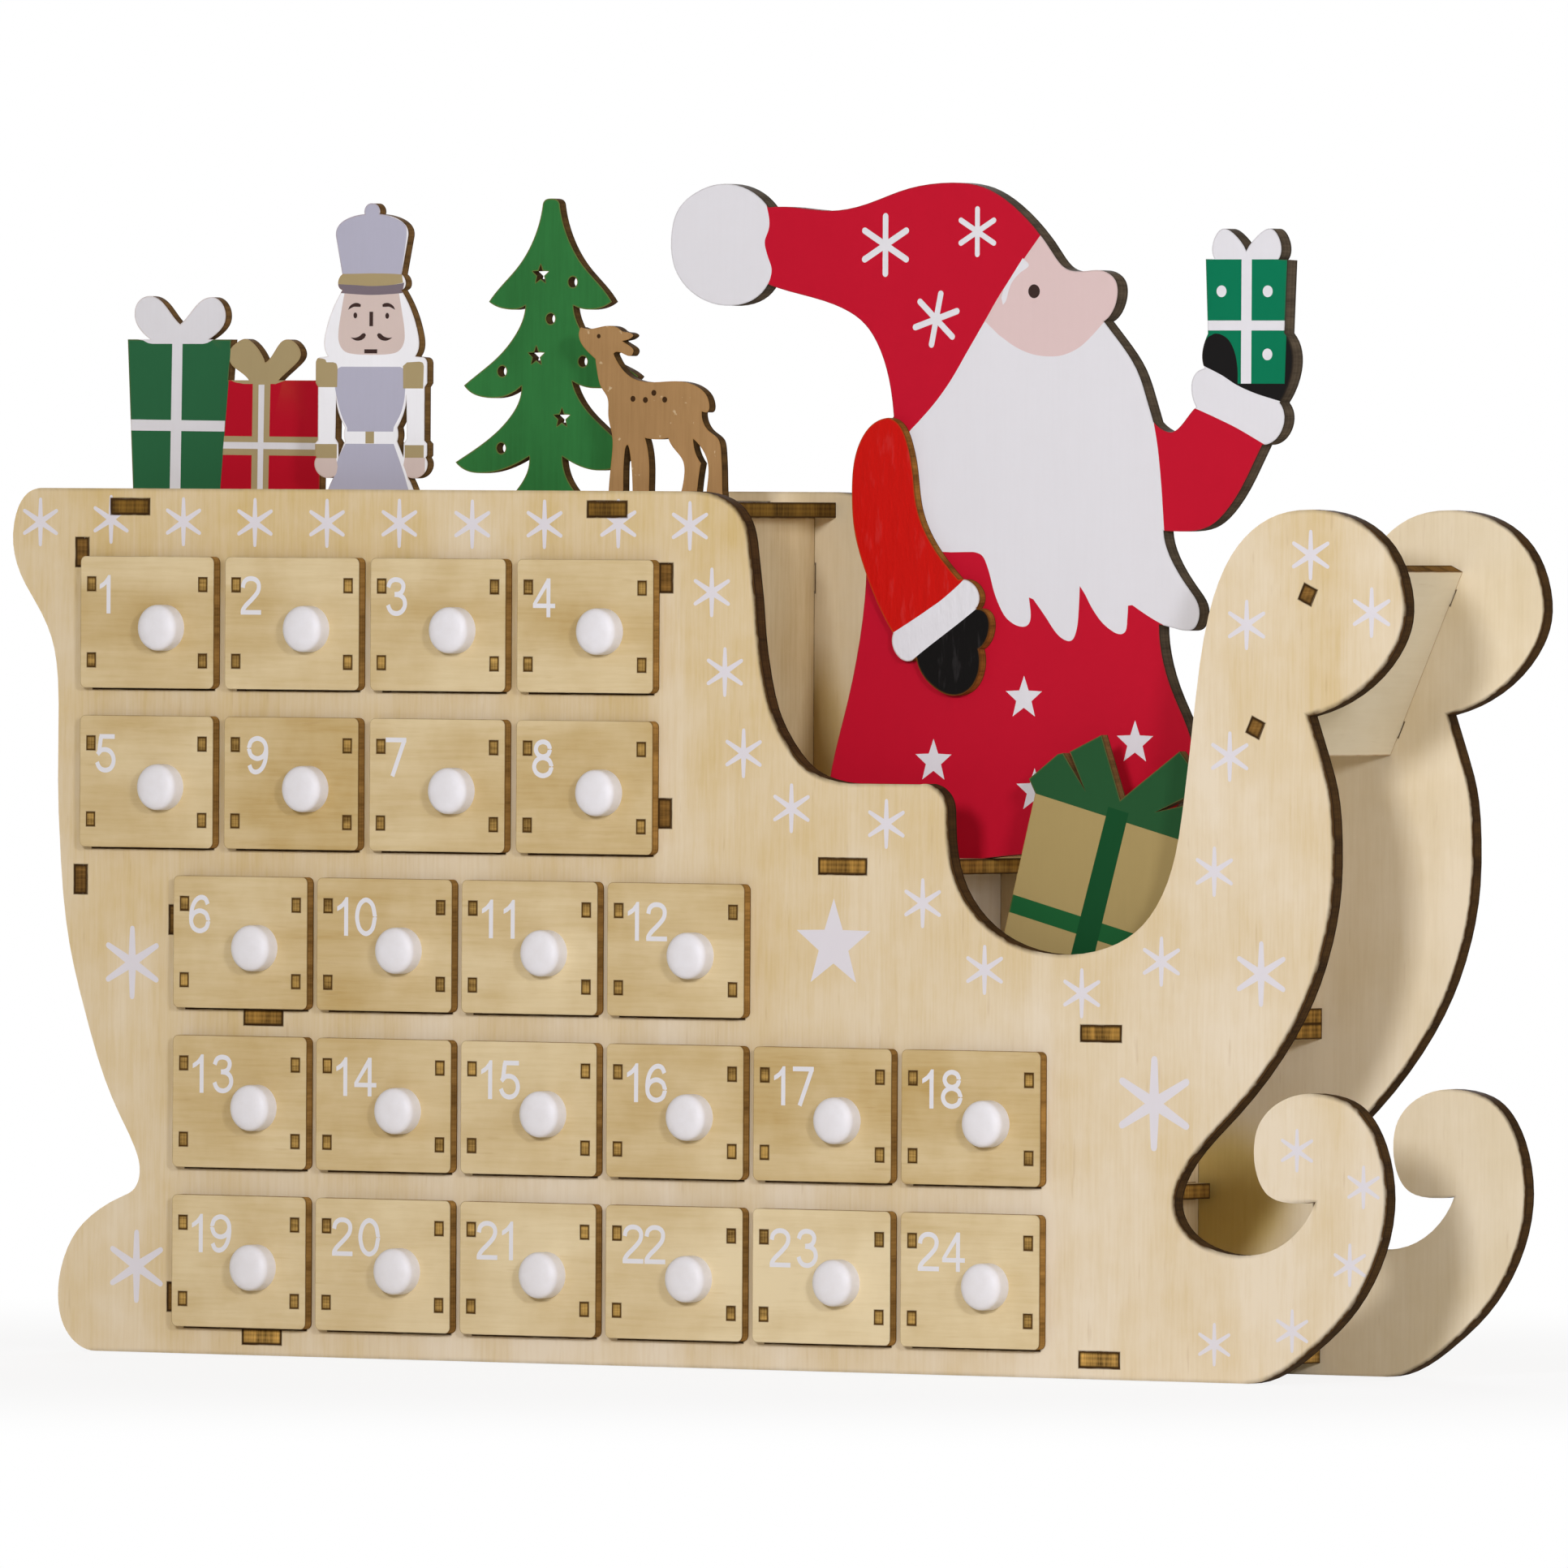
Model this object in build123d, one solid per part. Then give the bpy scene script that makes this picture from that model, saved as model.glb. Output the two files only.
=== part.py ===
from build123d import *
import math
import os

os.makedirs("parts", exist_ok=True)

# Plywood thicknesses and fits, in millimetres.
board_thickness = 4.0
drawer_thickness = 3.0
drawer_side_thickness = 2.7
figure_thickness = 3.0
santa_thickness = 5.0
# Air on each side of a glued tenon, and round a drawer that slides.
tenon_clearance = 0.1
slide_clearance = 0.3
# How far a cut runs past the face it leaves.
overrun = 1.0

# The two sleigh panels: nose in front of the drawers, rim above the top plate, room between them.
nose_length = 111.1
panel_rim_height = 2.9
inner_depth = 64.6

# Drawer bays: four across above, six across below, five rows.
row_pitch_height = 42.9
top_row_height = 47.2
bottom_plate_height = 3.1
upper_block_margin = 24.8
upper_bay_width = 43.4
lower_block_margin = 56.1
lower_bay_width = 42.9
upper_columns = 4
lower_columns = 6
row_count = 5

# Drawers, their fronts, tenons and knobs.
drawer_width = 39.2
drawer_height = 33.2
drawer_depth = 60.0
front_width = 43.7
front_height = 35.5
front_corner_radius = 1.6
side_tenon_height = 3.7
side_tenon_shares = (0.211, 0.789)
knob_diameter = 12.4
knob_rim_depth = 3.4
knob_depth = 5.8
knob_peg_diameter = 4.0
knob_offset = 6.0
knob_drop_height = 1.4

# Tenons of plates and walls into the panels: their length, and where each starts on its board.
plate_tenon_length = 12.4
seat_tenon_length = 14.9
wall_tenon_height = 7.5
top_tenon_shares = (0.0879, 0.8362)
low_tenon_shares = (0.0647, 0.9015)
seat_tenon_shares = (0.8787,)
upper_left_tenon_shares = (0.8656, 0.0238)
upper_right_tenon_shares = (0.7791, 0.0844)
lower_left_tenon_shares = (0.8492, 0.0345)
# Tenons of one inner piece into another, across the depth.
cross_tenon_depth = 12.0
shelf_tenon_depth = 15.0
shelf_tenon_length = 4.7
shelf_tenon_margin = 1.8

# How far the plates and walls run past the boards that carry them.
top_plate_overhang = 6.7
seat_plate_overhang = 19.8
low_plate_overhang = 38.4
wall_foot_height = 10.8
seat_wall_gap = 26.8

# The slanting plate between the upper scrolls.
dash_middle_shares = (0.9134, 0.8127)
dash_length = 53.4
dash_tilt_degrees = 24.5
dash_tenon_length = 4.2
dash_tenon_spacing = 38.4

# How far the figures stand behind the front face of the front panel.
front_row_setback = 18.0
back_row_setback = 32.0
santa_setback = 31.0
brown_gift_setback = 15.0
# Tabs under the figures.
figure_tab_length = 5.0
leg_tab_length = 3.2
santa_tab_length = 10.0

total_depth = (
    knob_depth + drawer_thickness + slide_clearance + board_thickness + inner_depth + board_thickness
)
front_y = knob_depth + drawer_thickness + slide_clearance - total_depth / 2
inside_y = front_y + board_thickness
back_y = inside_y + inner_depth
middle_y = inside_y + inner_depth / 2
rear_y = back_y + board_thickness

# Floors of the rows from the lowest, and lower faces of the level boards that carry drawers.
lowest_floor = bottom_plate_height + board_thickness
row_floors = [lowest_floor + row_pitch_height * row for row in range(row_count)]
lower_shelf_height = row_floors[1] - board_thickness
floor_plate_height = row_floors[2] - board_thickness
seat_plate_height = row_floors[3] - board_thickness
upper_shelf_height = row_floors[4] - board_thickness
top_plate_height = row_floors[4] + top_row_height
panel_height = top_plate_height + board_thickness + panel_rim_height


def block_length(bay, count):
    """Length of a row of bays with a divider between each two."""
    return count * bay + (count - 1) * board_thickness


def divider_lefts(left, bay, count):
    """Left faces of the dividers in a row of bays."""
    return [left + bay + index * (bay + board_thickness) for index in range(count)]


def along_board(shares, length, start):
    """Places along a board, given as shares of its length."""
    return [start + share * length for share in shares]


# Ends of the drawer blocks, of the walls beside them and of the plates.
upper_block_length = block_length(upper_bay_width, upper_columns)
lower_block_length = block_length(lower_bay_width, lower_columns)
panel_length = lower_block_margin + lower_block_length + nose_length
upper_block_left = upper_block_margin - panel_length / 2
upper_block_right = upper_block_left + upper_block_length
lower_block_left = lower_block_margin - panel_length / 2
lower_block_right = lower_block_left + lower_block_length
upper_lefts = divider_lefts(upper_block_left, upper_bay_width, upper_columns - 1)
lower_lefts = divider_lefts(lower_block_left, lower_bay_width, lower_columns - 1)
middle_lefts = lower_lefts[:upper_columns]
upper_left_wall_left = upper_block_left - board_thickness
lower_left_wall_left = lower_block_left - board_thickness
seat_wall_left = middle_lefts[-1] + board_thickness + seat_wall_gap
seat_wall_right = seat_wall_left + board_thickness
upper_left_wall_foot = seat_plate_height - wall_foot_height
top_plate_left = upper_left_wall_left - top_plate_overhang
top_plate_right = upper_block_right + board_thickness + top_plate_overhang
top_plate_length = top_plate_right - top_plate_left
seat_plate_right = seat_wall_right + seat_plate_overhang
low_plate_right = lower_block_right + board_thickness + low_plate_overhang

# Where the tenons start.
top_tenon_starts = along_board(top_tenon_shares, top_plate_length, top_plate_left)
low_tenon_starts = along_board(low_tenon_shares, low_plate_right - lower_block_left, lower_block_left)
seat_tenon_starts = along_board(seat_tenon_shares, seat_plate_right - upper_block_left, upper_block_left)
upper_left_tenon_heights = along_board(
    upper_left_tenon_shares, top_plate_height - upper_left_wall_foot, upper_left_wall_foot
)
upper_right_tenon_heights = along_board(
    upper_right_tenon_shares, top_plate_height - row_floors[3], row_floors[3]
)
lower_left_tenon_heights = along_board(
    lower_left_tenon_shares, seat_plate_height - row_floors[0], row_floors[0]
)


def block(x0, x1, y0, y1, z0, z1):
    """Square-edged board between three pairs of coordinates."""
    middle = Pos((x0 + x1) / 2, (y0 + y1) / 2, (z0 + z1) / 2)
    return middle * Box(x1 - x0, y1 - y0, z1 - z0)


def sheet(face, y, thickness):
    """Flat piece cut to a face drawn as width and height, its front at y."""
    return Pos(0, y, 0) * extrude(Plane.XZ * face, amount=thickness, dir=(0, 1, 0))


def cut_face(runs, width, height, left, bottom):
    """Face inside a closed outline; one point is a straight cut, more are a smooth curve."""
    edges = []
    start = runs[-1][-1]
    for run in runs:
        points = [(left + u * width, bottom + v * height) for u, v in (start, *run)]
        if len(points) == 2:
            edges.append(Line(*points))
        else:
            edges.append(Spline(*points))
        start = run[-1]
    return make_face(edges)


def both_sides(runs):
    """Runs up one half, followed by the same runs mirrored and taken down again."""
    mirrored = []
    for index in reversed(range(1, len(runs))):
        back = [*runs[index][-2::-1], runs[index - 1][-1]]
        mirrored.append([(-u, v) for u, v in back])
    return [*runs, *mirrored]


def star(radius, waist_share):
    """Five-pointed star with one point up."""
    quarter_turn = math.pi / 2
    points = []
    for corner in range(10):
        reach = radius if corner % 2 == 0 else radius * waist_share
        turn = quarter_turn + corner * math.pi / 5
        points.append((reach * math.cos(turn), reach * math.sin(turn)))
    return make_face(Polyline(*points, close=True))


def panel_tenons(starts, length, height):
    """Tenons of a level plate through both panels."""
    top = height + board_thickness
    found = []
    for start in starts:
        found.append(block(start, start + length, front_y, inside_y, height, top))
        found.append(block(start, start + length, back_y, rear_y, height, top))
    return found


def wall_tenons(left, heights):
    """Tenons of an upright wall through both panels."""
    right = left + board_thickness
    found = []
    for height in heights:
        found.append(block(left, right, front_y, inside_y, height, height + wall_tenon_height))
        found.append(block(left, right, back_y, rear_y, height, height + wall_tenon_height))
    return found


def slot_for(x0, x1, z0, z1):
    """Cutter through both panels, a little larger than the tenon it takes."""
    return block(
        x0 - tenon_clearance, x1 + tenon_clearance, front_y - overrun, rear_y + overrun,
        z0 - tenon_clearance, z1 + tenon_clearance,
    )


def join(body, extras):
    """One solid from a board and the tenons left on it."""
    for extra in extras:
        body += extra
    return body


def save(name, solids):
    export_step(Compound(children=list(solids)), f"parts/{name}.step")


def cross_slot(x0, x1, z0, z1, y_middle, length):
    """Cutter for a slot that runs in depth and takes a tenon of another inner piece."""
    half = length / 2 + tenon_clearance
    return block(x0, x1, y_middle - half, y_middle + half, z0, z1)


# The sleigh outline, as shares of the panel's length and height.
# Bottom edge, then the left runner and back rest up to the top edge.
left_shares = [
    (0.050, 0.008), (0.041, 0.026), (0.036, 0.060), (0.039, 0.101), (0.049, 0.137),
    (0.066, 0.164), (0.082, 0.179), (0.092, 0.189), (0.096, 0.208), (0.092, 0.238),
    (0.079, 0.281), (0.066, 0.333), (0.056, 0.387), (0.043, 0.473), (0.036, 0.580),
    (0.034, 0.666), (0.034, 0.765), (0.029, 0.825), (0.018, 0.864), (0.006, 0.898),
    (0.000, 0.932), (0.001, 0.964), (0.007, 0.988), (0.021, 1.000),
]
# Down from the top edge to the seat.
seat_shares = [
    (0.511, 0.997), (0.525, 0.986), (0.534, 0.966), (0.539, 0.924), (0.542, 0.881),
    (0.544, 0.838), (0.549, 0.782), (0.554, 0.750), (0.567, 0.709), (0.581, 0.684),
    (0.594, 0.674), (0.610, 0.669),
]
# Footwell and upper scroll, round to its inner corner.
scroll_shares = [
    (0.671, 0.666), (0.678, 0.653), (0.680, 0.627), (0.681, 0.599), (0.687, 0.558),
    (0.699, 0.525), (0.718, 0.498), (0.743, 0.482), (0.768, 0.479), (0.792, 0.487),
    (0.814, 0.508), (0.829, 0.541), (0.839, 0.586), (0.845, 0.644), (0.851, 0.730),
    (0.857, 0.816), (0.867, 0.891), (0.882, 0.941), (0.907, 0.975), (0.936, 0.983),
    (0.966, 0.971), (0.987, 0.941), (0.998, 0.898), (0.999, 0.857), (0.989, 0.817),
    (0.970, 0.782), (0.951, 0.762), (0.933, 0.751),
]
# Front of the sleigh down into the hollow of the lower scroll, to its tip.
hollow_shares = [
    (0.941, 0.709), (0.948, 0.666), (0.951, 0.610), (0.950, 0.548), (0.944, 0.492),
    (0.933, 0.436), (0.910, 0.365), (0.880, 0.301), (0.856, 0.257), (0.844, 0.224),
    (0.841, 0.198), (0.847, 0.173), (0.863, 0.153), (0.887, 0.144), (0.910, 0.151),
    (0.928, 0.174), (0.939, 0.206),
]
# Round the lower scroll and along the runner to the bottom edge.
runner_shares = [
    (0.922, 0.204), (0.905, 0.214), (0.898, 0.236), (0.896, 0.262), (0.899, 0.290),
    (0.910, 0.313), (0.927, 0.326), (0.948, 0.326), (0.966, 0.314), (0.979, 0.286),
    (0.987, 0.245), (0.989, 0.208), (0.985, 0.161), (0.974, 0.114), (0.957, 0.072),
    (0.936, 0.038), (0.916, 0.013), (0.903, 0.003), (0.889, 0.000),
]
panel_runs_shares = [
    [(0.064, 0.000)], left_shares,
    [(0.493, 1.000)], seat_shares,
    [(0.660, 0.669)], scroll_shares,
    hollow_shares, runner_shares,
]
panel_face = cut_face(panel_runs_shares, panel_length, panel_height, -panel_length / 2, 0)

# Every slot that both panels have.
panel_slots = []
for start in top_tenon_starts:
    panel_slots.append(
        (start, start + plate_tenon_length, top_plate_height, top_plate_height + board_thickness)
    )
for start in low_tenon_starts:
    for height in (floor_plate_height, bottom_plate_height):
        panel_slots.append((start, start + plate_tenon_length, height, height + board_thickness))
for start in seat_tenon_starts:
    panel_slots.append(
        (start, start + seat_tenon_length, seat_plate_height, seat_plate_height + board_thickness)
    )
for left, heights in (
    (upper_left_wall_left, upper_left_tenon_heights),
    (upper_block_right, upper_right_tenon_heights),
    (lower_left_wall_left, lower_left_tenon_heights),
):
    for height in heights:
        panel_slots.append((left, left + board_thickness, height, height + wall_tenon_height))


def dash_piece(wide, long, y0, y1, along):
    """Board lying in the slant of the dash plate, moved along that slant."""
    lying = Pos(0, (y0 + y1) / 2, along) * Box(wide, y1 - y0, long)
    across_share, rise_share = dash_middle_shares
    place = Pos((across_share - 1 / 2) * panel_length, 0, rise_share * panel_height)
    return place * Rot(0, dash_tilt_degrees, 0) * lying


# Drawers: number, middle of the bay, floor of the bay, in rows from the top.
def bay_middle(left, bay, column):
    return left + bay / 2 + column * (bay + board_thickness)


row_numbers = ((1, 2, 3, 4), (5, 9, 7, 8), (6, 10, 11, 12), range(13, 19), range(19, 25))
drawer_places = []
for row, numbers in enumerate(row_numbers):
    left, bay = (upper_block_left, upper_bay_width) if row < 2 else (lower_block_left, lower_bay_width)
    for column, number in enumerate(numbers):
        drawer_places.append((number, bay_middle(left, bay, column), row_floors[4 - row]))

# Front and back panels.
both_panels = [sheet(panel_face, front_y, board_thickness), sheet(panel_face, back_y, board_thickness)]
for slot in panel_slots:
    both_panels = [panel - slot_for(*slot) for panel in both_panels]
for along in (-dash_tenon_spacing / 2, dash_tenon_spacing / 2):
    slot = dash_piece(
        board_thickness + 2 * tenon_clearance, dash_tenon_length + 2 * tenon_clearance,
        front_y - overrun, rear_y + overrun, along,
    )
    both_panels = [panel - slot for panel in both_panels]
front_panel, back_panel = both_panels
half_opening = drawer_width / 2 + slide_clearance
for number, middle, floor in drawer_places:
    front_panel -= block(
        middle - half_opening, middle + half_opening, front_y - overrun, inside_y + overrun,
        floor, floor + drawer_height + 2 * slide_clearance,
    )
save("front_panel", front_panel.solids())
save("back_panel", back_panel.solids())


# Figures that stand on the top plate: sizes, places and tabs.
deck = top_plate_height + board_thickness
figure_shares = (0.4379, 0.6725, 0.7623, 0.0043)
figure_places = along_board(figure_shares, top_plate_length, top_plate_left)
nutcracker_middle, tree_middle, deer_left, gifts_left = figure_places
nutcracker_half_width = 18.45
nutcracker_height = 79.8
tree_half_width = 30.6
tree_height = 81.2
deer_width = 46.8
deer_height = 46.9
gifts_width = 64.0
gifts_height = 55.1
front_row_y = front_y + front_row_setback
back_row_y = front_y + back_row_setback
nutcracker_tabs = along_board((-0.4, 0.4), nutcracker_half_width, nutcracker_middle)
tree_tabs = along_board((-0.2, 0.2), tree_half_width, tree_middle)
deer_tabs = along_board((0.257, 0.430, 0.752, 0.940), deer_width, deer_left)
gifts_tabs = along_board((0.25, 0.75), gifts_width, gifts_left)

# Top plate with the slots of the figures.
top_plate = block(
    top_plate_left, top_plate_right, inside_y, back_y, top_plate_height, deck
)
top_plate = join(top_plate, panel_tenons(top_tenon_starts, plate_tenon_length, top_plate_height))
for tabs, length, y in (
    (nutcracker_tabs, figure_tab_length, front_row_y),
    (deer_tabs, leg_tab_length, front_row_y),
    (tree_tabs, figure_tab_length, back_row_y),
    (gifts_tabs, figure_tab_length, back_row_y),
):
    for middle in tabs:
        half = length / 2 + tenon_clearance
        top_plate -= block(
            middle - half, middle + half, y - tenon_clearance, y + figure_thickness + tenon_clearance,
            top_plate_height - overrun, deck + overrun,
        )
save("top_plate", top_plate.solids())


# Tenons in the middle of the depth, from one inner piece into the next.
wall_tenon_y = (middle_y - cross_tenon_depth / 2, middle_y + cross_tenon_depth / 2)

# Upper row shelf: halved over the dividers from the front, tenoned into both walls.
upper_shelf = block(
    upper_left_wall_left, upper_block_right + board_thickness, *wall_tenon_y,
    upper_shelf_height, upper_shelf_height + board_thickness,
)
upper_shelf += block(
    upper_block_left, upper_block_right, inside_y, back_y,
    upper_shelf_height, upper_shelf_height + board_thickness,
)
for left in upper_lefts:
    upper_shelf -= block(
        left - tenon_clearance, left + board_thickness + tenon_clearance, inside_y - overrun, middle_y,
        upper_shelf_height - overrun, upper_shelf_height + board_thickness + overrun,
    )
save("upper_row_shelf", upper_shelf.solids())

# Upper dividers: halved over the shelf from the back.
seat_top = seat_plate_height + board_thickness
upper_dividers = []
for left in upper_lefts:
    divider = block(left, left + board_thickness, inside_y, back_y, seat_top, top_plate_height)
    divider -= block(
        left - overrun, left + board_thickness + overrun, middle_y, back_y + overrun,
        upper_shelf_height - tenon_clearance, upper_shelf_height + board_thickness + tenon_clearance,
    )
    upper_dividers.extend(divider.solids())
save("upper_dividers", upper_dividers)

# Upper walls.
upper_left_wall = block(
    upper_left_wall_left, upper_block_left, inside_y, back_y, upper_left_wall_foot, top_plate_height
)
upper_left_wall = join(upper_left_wall, wall_tenons(upper_left_wall_left, upper_left_tenon_heights))
for height in (seat_plate_height, upper_shelf_height):
    upper_left_wall -= cross_slot(
        upper_left_wall_left - overrun, upper_block_left + overrun,
        height - tenon_clearance, height + board_thickness + tenon_clearance, middle_y, cross_tenon_depth,
    )
save("upper_left_wall", upper_left_wall.solids())
upper_right_wall = block(
    upper_block_right, upper_block_right + board_thickness, inside_y, back_y, seat_top, top_plate_height
)
upper_right_wall = join(upper_right_wall, wall_tenons(upper_block_right, upper_right_tenon_heights))
upper_right_wall -= cross_slot(
    upper_block_right - overrun, upper_block_right + board_thickness + overrun,
    upper_shelf_height - tenon_clearance, upper_shelf_height + board_thickness + tenon_clearance,
    middle_y, cross_tenon_depth,
)
save("upper_right_wall", upper_right_wall.solids())

# Seat plate: tenoned into the left wall and both panels, slotted for what stands on and under it.
santa_width = 196.8
santa_height = 179.2
santa_seated_share = 0.5163
santa_left = seat_plate_right - santa_seated_share * santa_width
santa_y = front_y + santa_setback
santa_tabs = along_board((0.308, 0.460), santa_width, santa_left)
seat_wall_y = back_y - cross_tenon_depth
seat_plate = block(
    upper_block_left, seat_plate_right, inside_y, back_y, seat_plate_height, seat_top
)
seat_plate += block(
    upper_left_wall_left, upper_block_left, *wall_tenon_y, seat_plate_height, seat_top
)
seat_plate = join(seat_plate, panel_tenons(seat_tenon_starts, seat_tenon_length, seat_plate_height))
for left in middle_lefts:
    seat_plate -= cross_slot(
        left - tenon_clearance, left + board_thickness + tenon_clearance,
        seat_plate_height - overrun, seat_top + overrun, middle_y, cross_tenon_depth,
    )
seat_plate -= cross_slot(
    seat_wall_left - tenon_clearance, seat_wall_right + tenon_clearance,
    seat_plate_height - overrun, seat_top + overrun, seat_wall_y, cross_tenon_depth,
)
for middle in santa_tabs:
    half = santa_tab_length / 2 + tenon_clearance
    seat_plate -= block(
        middle - half, middle + half,
        santa_y - tenon_clearance, santa_y + santa_thickness + tenon_clearance,
        seat_plate_height - overrun, seat_top + overrun,
    )
save("seat_plate", seat_plate.solids())

# Middle dividers, tenoned into the plate above and the plate below.
floor_top = floor_plate_height + board_thickness
middle_dividers = []
for left in middle_lefts:
    divider = block(left, left + board_thickness, inside_y, back_y, floor_top, seat_plate_height)
    divider += block(left, left + board_thickness, *wall_tenon_y, floor_plate_height, seat_top)
    middle_dividers.extend(divider.solids())
save("middle_dividers", middle_dividers)

# Wall under the seat, tenoned the same way.
seat_wall = block(seat_wall_left, seat_wall_right, inside_y, back_y, floor_top, seat_plate_height)
seat_wall += block(
    seat_wall_left, seat_wall_right,
    seat_wall_y - cross_tenon_depth / 2, seat_wall_y + cross_tenon_depth / 2,
    floor_plate_height, seat_top,
)
save("seat_wall", seat_wall.solids())

# Floor plate: under row three and on to the front of the sleigh.
floor_plate = block(
    lower_block_left, low_plate_right, inside_y, back_y, floor_plate_height, floor_top
)
floor_plate += block(
    lower_left_wall_left, lower_block_left, *wall_tenon_y, floor_plate_height, floor_top
)
floor_plate = join(floor_plate, panel_tenons(low_tenon_starts, plate_tenon_length, floor_plate_height))
for left in (*middle_lefts, lower_block_right):
    floor_plate -= cross_slot(
        left - tenon_clearance, left + board_thickness + tenon_clearance,
        floor_plate_height - overrun, floor_top + overrun, middle_y, cross_tenon_depth,
    )
floor_plate -= cross_slot(
    seat_wall_left - tenon_clearance, seat_wall_right + tenon_clearance,
    floor_plate_height - overrun, floor_top + overrun, seat_wall_y, cross_tenon_depth,
)
save("floor_plate", floor_plate.solids())

# Board that lies on the floor plate in the footwell.
footwell_top = floor_top + board_thickness
footwell_board = block(
    seat_wall_right, low_plate_right, inside_y, back_y, floor_top, footwell_top
)
save("footwell_board", footwell_board.solids())

# Bottom plate.
bottom_top = bottom_plate_height + board_thickness
bottom_plate = block(
    lower_left_wall_left, low_plate_right, inside_y, back_y, bottom_plate_height, bottom_top
)
bottom_plate = join(bottom_plate, panel_tenons(low_tenon_starts, plate_tenon_length, bottom_plate_height))
bottom_plate -= cross_slot(
    lower_block_right - tenon_clearance, lower_block_right + board_thickness + tenon_clearance,
    bottom_plate_height - overrun, bottom_top + overrun, middle_y, cross_tenon_depth,
)
save("bottom_plate", bottom_plate.solids())

# Lower row shelf: its right tenons stand out past the wall.
shelf_tenon_middles = (
    inside_y + shelf_tenon_margin + shelf_tenon_depth / 2,
    back_y - shelf_tenon_margin - shelf_tenon_depth / 2,
)
lower_shelf = block(
    lower_block_left, lower_block_right, inside_y, back_y, lower_shelf_height, row_floors[1]
)
lower_shelf += block(
    lower_left_wall_left, lower_block_left, *wall_tenon_y, lower_shelf_height, row_floors[1]
)
for middle in shelf_tenon_middles:
    lower_shelf += block(
        lower_block_right, lower_block_right + board_thickness + shelf_tenon_length,
        middle - shelf_tenon_depth / 2, middle + shelf_tenon_depth / 2,
        lower_shelf_height, row_floors[1],
    )
for left in lower_lefts:
    lower_shelf -= block(
        left - tenon_clearance, left + board_thickness + tenon_clearance, inside_y - overrun, middle_y,
        lower_shelf_height - overrun, row_floors[1] + overrun,
    )
save("lower_row_shelf", lower_shelf.solids())

# Lower dividers.
lower_dividers = []
for left in lower_lefts:
    divider = block(left, left + board_thickness, inside_y, back_y, bottom_top, floor_plate_height)
    divider -= block(
        left - overrun, left + board_thickness + overrun, middle_y, back_y + overrun,
        lower_shelf_height - tenon_clearance, row_floors[1] + tenon_clearance,
    )
    lower_dividers.extend(divider.solids())
save("lower_dividers", lower_dividers)

# Lower walls.
lower_left_wall = block(
    lower_left_wall_left, lower_block_left, inside_y, back_y, bottom_top, seat_plate_height
)
lower_left_wall = join(lower_left_wall, wall_tenons(lower_left_wall_left, lower_left_tenon_heights))
for height in (lower_shelf_height, floor_plate_height):
    lower_left_wall -= cross_slot(
        lower_left_wall_left - overrun, lower_block_left + overrun,
        height - tenon_clearance, height + board_thickness + tenon_clearance, middle_y, cross_tenon_depth,
    )
save("lower_left_wall", lower_left_wall.solids())
lower_right_wall = block(
    lower_block_right, lower_block_right + board_thickness, inside_y, back_y,
    bottom_top, floor_plate_height,
)
lower_right_wall += block(
    lower_block_right, lower_block_right + board_thickness, *wall_tenon_y,
    bottom_plate_height, floor_top,
)
for middle in shelf_tenon_middles:
    lower_right_wall -= cross_slot(
        lower_block_right - overrun, lower_block_right + board_thickness + overrun,
        lower_shelf_height - tenon_clearance, row_floors[1] + tenon_clearance,
        middle, shelf_tenon_depth,
    )
save("lower_right_wall", lower_right_wall.solids())

# Slanting plate between the upper scrolls.
dash_plate = dash_piece(board_thickness, dash_length, inside_y, back_y, 0)
for along in (-dash_tenon_spacing / 2, dash_tenon_spacing / 2):
    dash_plate += dash_piece(board_thickness, dash_tenon_length, front_y, rear_y, along)
save("dash_plate", dash_plate.solids())


def add_tabs(figure, middles, length, y, thickness, top):
    """Figure with the tabs that go down through the plate it stands on."""
    for middle in middles:
        figure += block(
            middle - length / 2, middle + length / 2, y, y + thickness, top - board_thickness, top
        )
    return figure


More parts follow.
